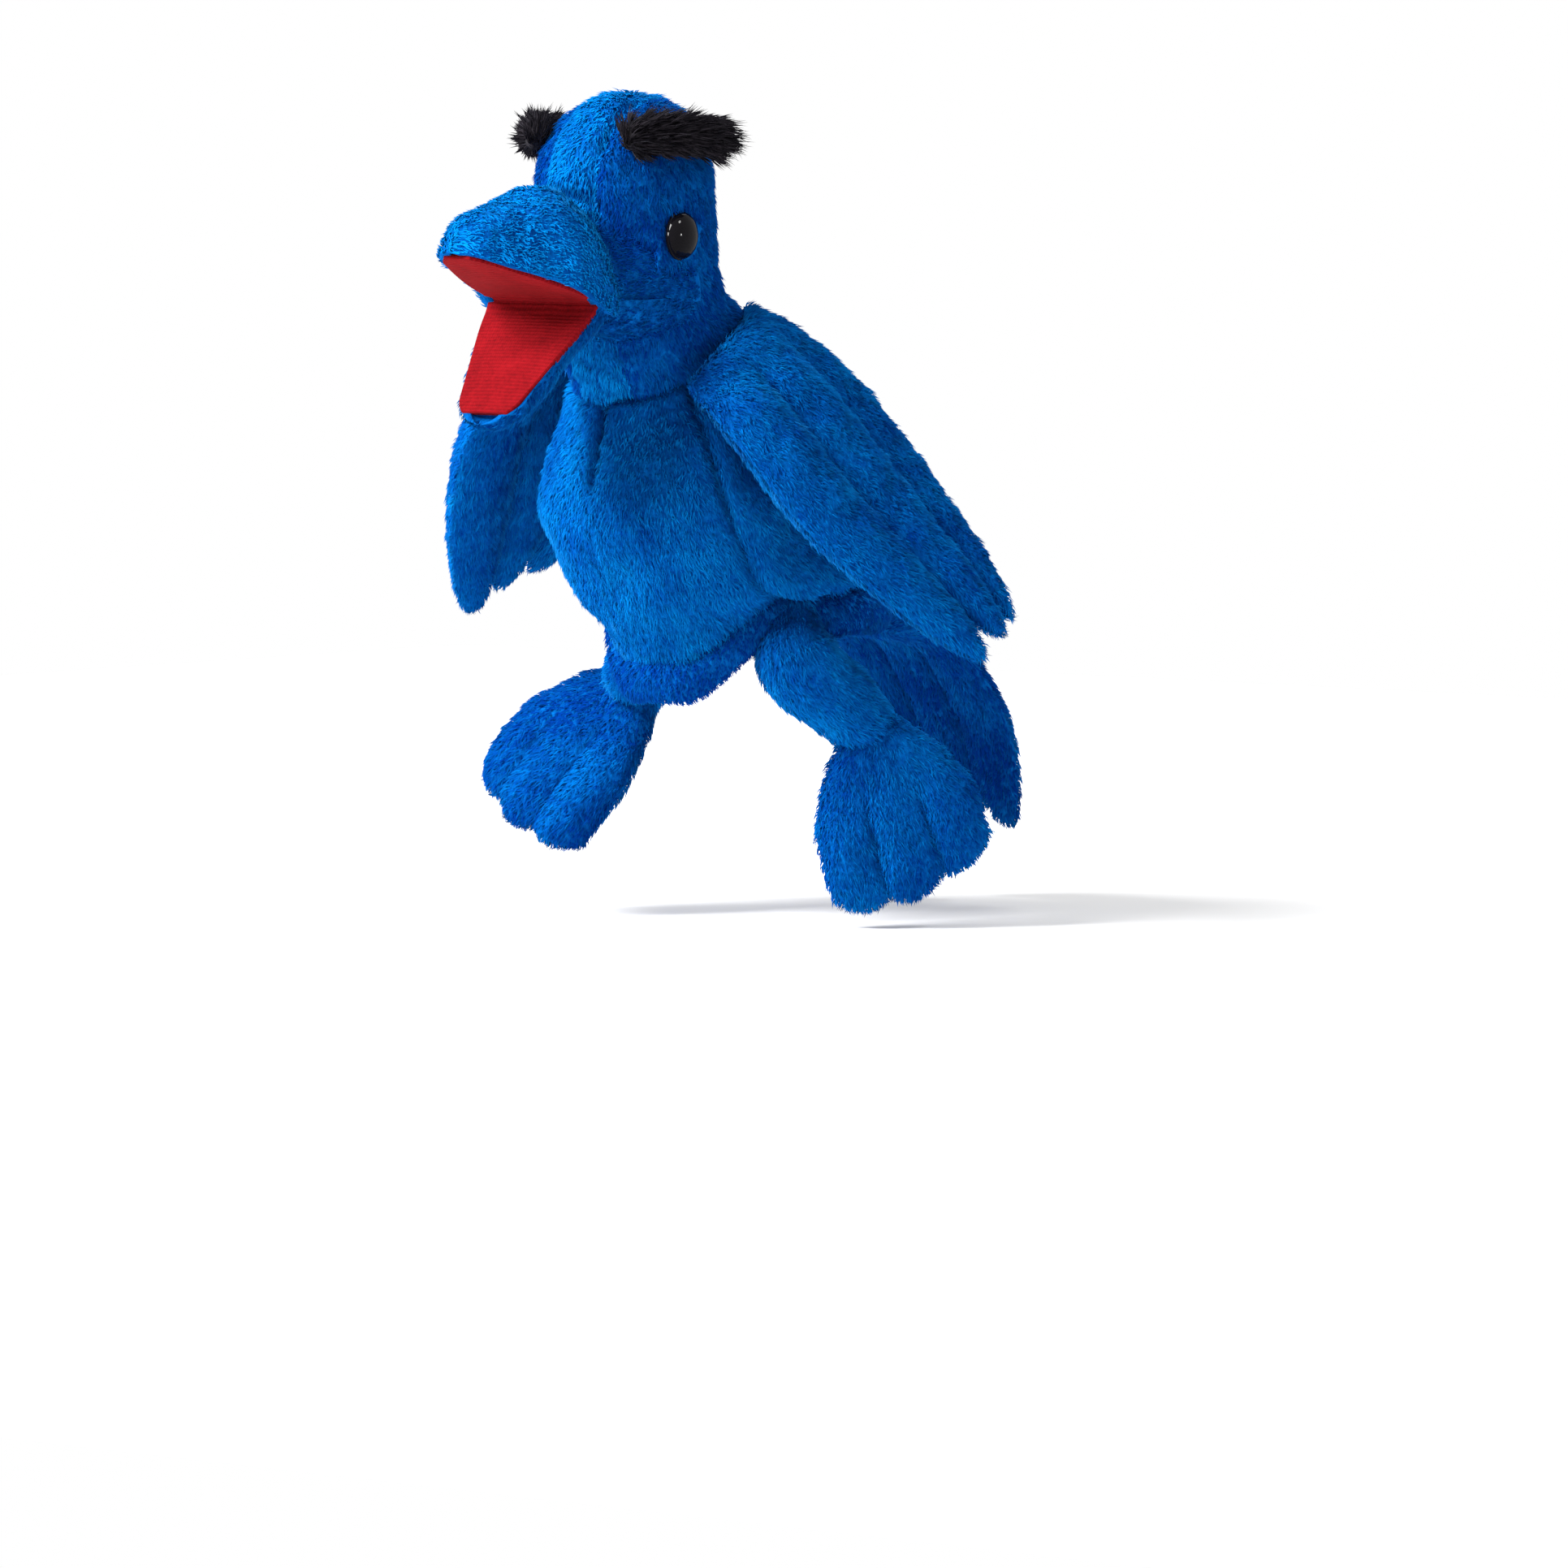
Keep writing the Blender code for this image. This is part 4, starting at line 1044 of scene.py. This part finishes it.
def scallop(u, depth, warp=1.0):
    """How much shorter a piece is between its feathers or toes."""
    return 1 - depth * (1 - np.abs(np.sin(math.pi * CHANNELS * np.clip(u, 0, 1) ** warp)) ** 0.7)


def quilted(middle, pad, flip, steps=(110, 130), warp=1.0, thick_root=0.0, stitched=(0.03, 0.25), full=0.0):
    """The two layers of a quilted piece about its middle surface of (u across, v along), and its filling.

    Its channels begin between the two shares of stitched, and full is how far the filling evens them out."""
    made, cores = [], []
    for side in (1.0, -1.0):
        cloth = Cloth(middle, steps, flip=flip)
        u, v = cloth.u, cloth.v
        lobe = np.abs(np.sin(math.pi * CHANNELS * u ** warp)) ** 0.62
        spread = ease(*stitched, v) * (1 - full)
        body = (1 - spread) * np.sin(math.pi * u) ** 0.5 + spread * lobe
        rim = np.clip(1 - np.abs(2 * u - 1) ** 9, 0, 1) ** 0.5 * np.clip(1 - v ** 14, 0, 1) ** 0.5
        rim = rim * np.clip(1 - (1 - v) ** 30, 0, 1) ** 0.5
        height = QUILT_EDGE + pad * body * np.minimum(1.0, 0.55 + 0.45 * np.sin(math.pi * v))
        height = height + thick_root * (1 - ease(0.0, 0.35, v)) * np.sin(math.pi * u) ** 0.5
        height = height * rim + 0.02
        centre = cloth.places
        crumple = 0.22 * drift(centre, 8.0, 51) + 0.1 * drift(centre, 3.5, 52)
        height = height + rim * crumple * ease(0, 1.5, height)
        facing = cloth.facing
        cloth.places = centre + facing * (height * side)[..., None]
        cloth.flip = flip if side > 0 else not flip
        cloth.update()
        inner = np.maximum(height - BACKING, 0.012)
        made.append((cloth, centre + facing * (inner * side)[..., None]))
        cores.append(centre + facing * (np.maximum(height - BACKING - 0.1, 0.005) * side)[..., None])
    inner = [grid[3:-3, 3:-3] for grid in cores]
    core = Cloth(lambda u, v: inner[0], (steps[0] - 6, steps[1] - 6), flip=flip)
    return made, (core, inner[1])


def add_quilt(name, quilt, bend, painted_light, seeds, names=("top", "under"), nodes=("batting", "top", "under")):
    """A quilted piece's filling and its two layers with their pile. It returns the layers."""
    layers, core = quilt
    filling = add_cloth(f"{name}_fibre", *core, None)
    dress(filling, bend=bend, stands_for=[f"{name}_{nodes[0]}"])
    pieces = []
    for (cloth, under), layer, node, seed in zip(layers, names, nodes[1:], seeds):
        pieces.append(add_cloth(f"{name}_{layer}_cloth", cloth, under, plush))
        dress(pieces[-1], bend=bend, stands_for=[f"{name}_{node}"])
        dress(add_pile(f"{name}_{layer}_pile", [cloth], seed, painted_light=painted_light), bend=bend)
    return pieces


for side, sign in (("left", 1.0), ("right", -1.0)):

    def wing_middle(u, v):
        reach = v * scallop(u, 0.13 * ease(0.3, 1.0, v), WING_WARP) * WING_SHARE[side]
        front, rear = through(WING_LEADING, reach), through(WING_TRAILING, reach)
        places = front + (rear - front) * u[..., None]
        bulge = WING_BULGE * np.sin(math.pi * u) * (1 - 0.5 * v)
        places = places + np.array((0.8, 0.2, 0.55)) * bulge[..., None]
        return places * np.array((sign, 1, 1))

    root = (np.array(WING_LEADING[0]) + np.array(WING_TRAILING[0])) / 2 * (sign, 1, 1)
    outward = unit(np.array((sign * 0.73, 0.29, -0.62)))
    bend = ("body", f"wing_{side}", root - outward * 0.5, root + outward * 7)
    quilt = quilted(wing_middle, WING_PAD, flip=sign > 0, warp=WING_WARP)
    # Painted shade: both layers of each wing get slightly darker pile.
    for piece in add_quilt(f"wing_{side}", quilt, bend, -0.1, (61, 62)):
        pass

# ------------------------------------------------------------------------------------------------
# Legs and feet: a stuffed tube hangs from the hem on each side. The foot is a quilted pad with
# three toes, sewn across the ankle. The left foot hangs and the right one lies forward.

HIP = (20.5, -12.5, 0.5)
ANKLE = {"left": (26.5, 2.0, -11.5), "right": (25.8, 0.1, -6.0)}
TOES_DOWN = {"left": (0.21, 0.17, -0.96), "right": (-0.48, -0.5, -0.72)}
FOOT_UP = {"left": (0.643, -0.766, 0.0), "right": (0.12, -0.88, 0.46)}
LEG_TOP = {"left": 7.0, "right": 5.4}
LEG_ANKLE = 5.2
LEG_TUCK = {"left": (0.0, 0.0, 0.0), "right": (4.5, 3.0, 0.5)}  # how far inward the thigh is pressed
OUTER_TOE = {"left": 0.13, "right": 0.0}  # how much shorter the outer toe is
# Painted shade: each foot's pile is made darker, the right one, in shadow by the leg, more.
FOOT_PAINTED_SHADE = {"left": -0.16, "right": -0.3}
FOOT_LENGTH = 32.5
FOOT_HEEL, FOOT_TOES = 6.2, 14.6
FOOT_PAD = 2.8
FOOT_ROOT, FOOT_STITCHED, FOOT_FULL = 2.0, (0.25, 0.65), 0.3

for side, sign in (("left", 1.0), ("right", -1.0)):
    hip, ankle = (np.array(place) * (sign, 1, 1) for place in (HIP, ANKLE[side]))
    down = unit(ankle - hip)
    tuck = np.array(LEG_TUCK[side])
    leg_path = (
        hip * (0.84, 0.72, 1) + (0, 0, 9) + tuck,
        hip + (0, 1.0, 1.0) + tuck,
        hip * 0.45 + ankle * 0.55 + tuck * 0.3,
        ankle + down * 2.0,
    )

    def leg_surface(u, v, wall=0.0, core=1.0):
        angle = 2 * math.pi * u
        along = unit(through(leg_path, v + 0.02) - through(leg_path, v - 0.02))
        across = unit(np.cross(along, np.array((0.0, 1.0, 0.15))))
        third = np.cross(along, across)
        radius = LEG_TOP[side] + (LEG_ANKLE - LEG_TOP[side]) * ease(0.4, 0.95, v)
        radius = radius - 2.6 * (1 - ease(0.05, 0.4, v))
        radius = radius * np.sqrt(np.clip(1 - np.clip((v - 0.9) / 0.1, 0, 1) ** 2, 0.0, 1)) + 0.02
        radius = np.maximum(radius - wall, 0.02) * core
        spread = across * np.cos(angle)[..., None] + third * np.sin(angle)[..., None]
        return through(leg_path, v) + spread * radius[..., None]

    leg = Cloth(leg_surface, (90, 60), wrap=True, behind=(hip + ankle) / 2)
    leg.push(0.3 * drift(leg.places, 8.0, 71) + 0.12 * drift(leg.places, 3.5, 72))
    leg_bend = ("body", f"leg_{side}", hip - down * 1.0, hip + down * 6.0)
    leg_cloth = add_panel(f"leg_{side}_cloth", leg, BACKING, plush)
    dress(leg_cloth, bend=leg_bend, stands_for=[f"leg_{side}"])
    dress(add_pile(f"leg_{side}_pile", [leg], 71), bend=leg_bend)
    fibre = Cloth(lambda u, v: leg_surface(u, v, 2.0), (40, 30), wrap=True, behind=(hip + ankle) / 2)
    leg_fibre = add_cloth(f"leg_{side}_fibre", fibre, leg_surface(fibre.u, fibre.v, 2.0, 0.1), None)
    dress(leg_fibre, bend=leg_bend, stands_for=[f"leg_{side}_filling"])

    toes = unit(np.array(TOES_DOWN[side]))
    wide = unit(np.cross(toes, unit(np.array(FOOT_UP[side]))))
    upward = np.cross(wide, toes)

    def foot_middle(u, v):
        slant = 1 - OUTER_TOE[side] * (1 - u) * v
        along = -1.5 + v * (FOOT_LENGTH + 1.5) * slant * scallop(u, 0.065 * ease(0.4, 1.0, v))
        half = FOOT_HEEL + (FOOT_TOES - FOOT_HEEL) * ease(-0.12, 0.6, v)
        half = half * np.clip(0.72 + 0.28 * ease(0.0, 0.22, v), 0, 1)
        sideways = (2 * u - 1) * half
        fan = 1 - 0.12 * (2 * u - 1) ** 2 * v
        arch = 1.5 * np.sin(math.pi * v) - 2.0 * (2 * u - 1) ** 2 * v
        flat = ankle + toes * (along * fan)[..., None] + wide * sideways[..., None]
        return flat + upward * arch[..., None]

    foot_bend = (f"leg_{side}", f"foot_{side}", ankle - toes * 1.5, ankle + toes * 4.0)
    quilt = quilted(foot_middle, FOOT_PAD, False, (90, 90), 1.0, FOOT_ROOT, FOOT_STITCHED, FOOT_FULL)
    for piece in add_quilt(f"foot_{side}", quilt, foot_bend, FOOT_PAINTED_SHADE[side], (73, 74), ("top", "sole"),
                           ("filling", "upper", "sole")):
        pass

# ------------------------------------------------------------------------------------------------
# Tail: one more quilted pad, sewn under the back of the hem, hanging behind.

TAIL_PATH = ((0.0, 24.5, 6.0), (0.0, 41.0, 3.0), (0.0, 54.5, -13.0), (0.0, 62.5, -31.5))
TAIL_HALF = ((10.5,), (13.5,), (15.0,), (12.0,))
TAIL_PAD = 2.1


def tail_middle(u, v):
    reach = v * scallop(u, 0.1 * ease(0.4, 1.0, v))
    half = through(TAIL_HALF, v)[..., 0]
    droop = -1.8 * (2 * u - 1) ** 2
    return through(TAIL_PATH, reach) + np.stack((half * (1 - 2 * u), 0 * u, droop), axis=-1)


tail_bend = ("body", "tail", (0.0, 29.0, 6.9), (0.0, 36.0, 4.5))
# Painted shade: the tail, in shade under the wing, gets darker pile.
for piece in add_quilt("tail", quilted(tail_middle, TAIL_PAD, flip=False), tail_bend, -0.35, (81, 82)):
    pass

# ------------------------------------------------------------------------------------------------
# Inside: a lining of woven cloth runs from the hem up round the finger to a closed tip in the
# head. The beak's fibre, mouth boards and eye washers keep their shapes from the frame.


def woven_finish():
    material, shader, place = new_finish("lining_weave", {"Roughness": 0.8, "Sheen Weight": 0.2})
    threads = place.noise(900.0, 3.0)
    grain = place.stretched((1.0, 1.0, 0.15)).noise(3500.0)
    stops = ((0.3, (0.006, 0.02, 0.07)), (0.7, (0.02, 0.06, 0.17)))
    link((threads * 0.5 + grain * 0.5).tinted(stops), shader, "Base Color")
    link(grain.bump(0.15 * MM), shader, "Normal")
    return material


def speckled_finish(name, dark, light, scale, depth, roughness):
    material, shader, place = new_finish(name, {"Roughness": roughness})
    grain = place.noise(scale, 4.0, 0.65)
    link(grain.tinted(((0.3, dark), (0.7, light))), shader, "Base Color")
    link(grain.bump(depth * MM), shader, "Normal")
    return material


SLEEVE_LINE = (
    (9.0, -3.0, 20.0, 22.5, 0.12),
    (15.0, -7.5, 14.5, 15.5, 0.15),
    (23.0, -12.5, 11.2, 11.4, 0.25),
    (34.0, -18.5, 10.2, 10.2, 0.3),
    (44.0, -22.2, 9.9, 9.9, 0.35),
    (53.0, -25.3, 9.7, 9.7, 0.3),
    (62.0, -28.2, 9.7, 9.7, 0.1),
    (73.0, -31.4, 9.7, 9.7, 0.0),
    (81.5, -32.5, 8.0, 8.0, 0.0),
    (86.0, -32.5, 0.0, 0.0, 0.0),
)  # height, y of the centre, half width, half depth, rise to the back


def sleeve_surface(u, v):
    """A tube gathered into the hem, close round the finger, and closed over its tip."""
    up = np.sin(v * math.pi / 2)
    angle = 2 * math.pi * u
    places = ring(SLEEVE_LINE, up, angle)
    lowest = hem_edge(angle) + HEM_HEIGHT + 1.0
    places[..., 2] += (1 - ease(0.0, 0.22, up)) * (lowest - ring(SLEEVE_LINE, 0 * up, angle)[..., 2])
    return places


sleeve = Cloth(sleeve_surface, (140, 110), wrap=True, behind=(0, -20, 40))
gathers = 0.35 * np.sin(23 * 2 * math.pi * sleeve.u) * (1 - ease(0.05, 0.35, sleeve.v))
sleeve.push((gathers + 0.3 * drift(sleeve.places, 6.0, 91)) * (1 - ease(0.9, 1.0, sleeve.v)))
sleeve.facing[-1] = (0, 0, 1)
finger_lining = add_panel("finger_lining", sleeve, 0.7, woven_finish())
dress(finger_lining, bend=NECK_BEND, stands_for=["finger_sleeve", "head_pocket"])

inside = {
    "fibre_filling": speckled_finish("loose_fibre", (0.6, 0.6, 0.58), (0.85, 0.85, 0.83), 700.0, 0.8, 1.0),
    "mouth_board": speckled_finish("board", (0.36, 0.33, 0.28), (0.46, 0.42, 0.36), 1500.0, 0.1, 0.8),
    "washer_nylon": speckled_finish("nylon", (0.7, 0.7, 0.67), (0.78, 0.78, 0.75), 400.0, 0.05, 0.45),
}
for piece in bpy.context.scene.objects:
    if piece.name.endswith("_fibre"):
        piece.data.materials.append(inside["fibre_filling"])
for row in frame["record"]["subparts"]:
    node = frame["nodes"][row["node"]]
    if row["material_slot"] in inside and not node.hide_render:
        for slot in node.material_slots:
            slot.material = inside[row["material_slot"]]
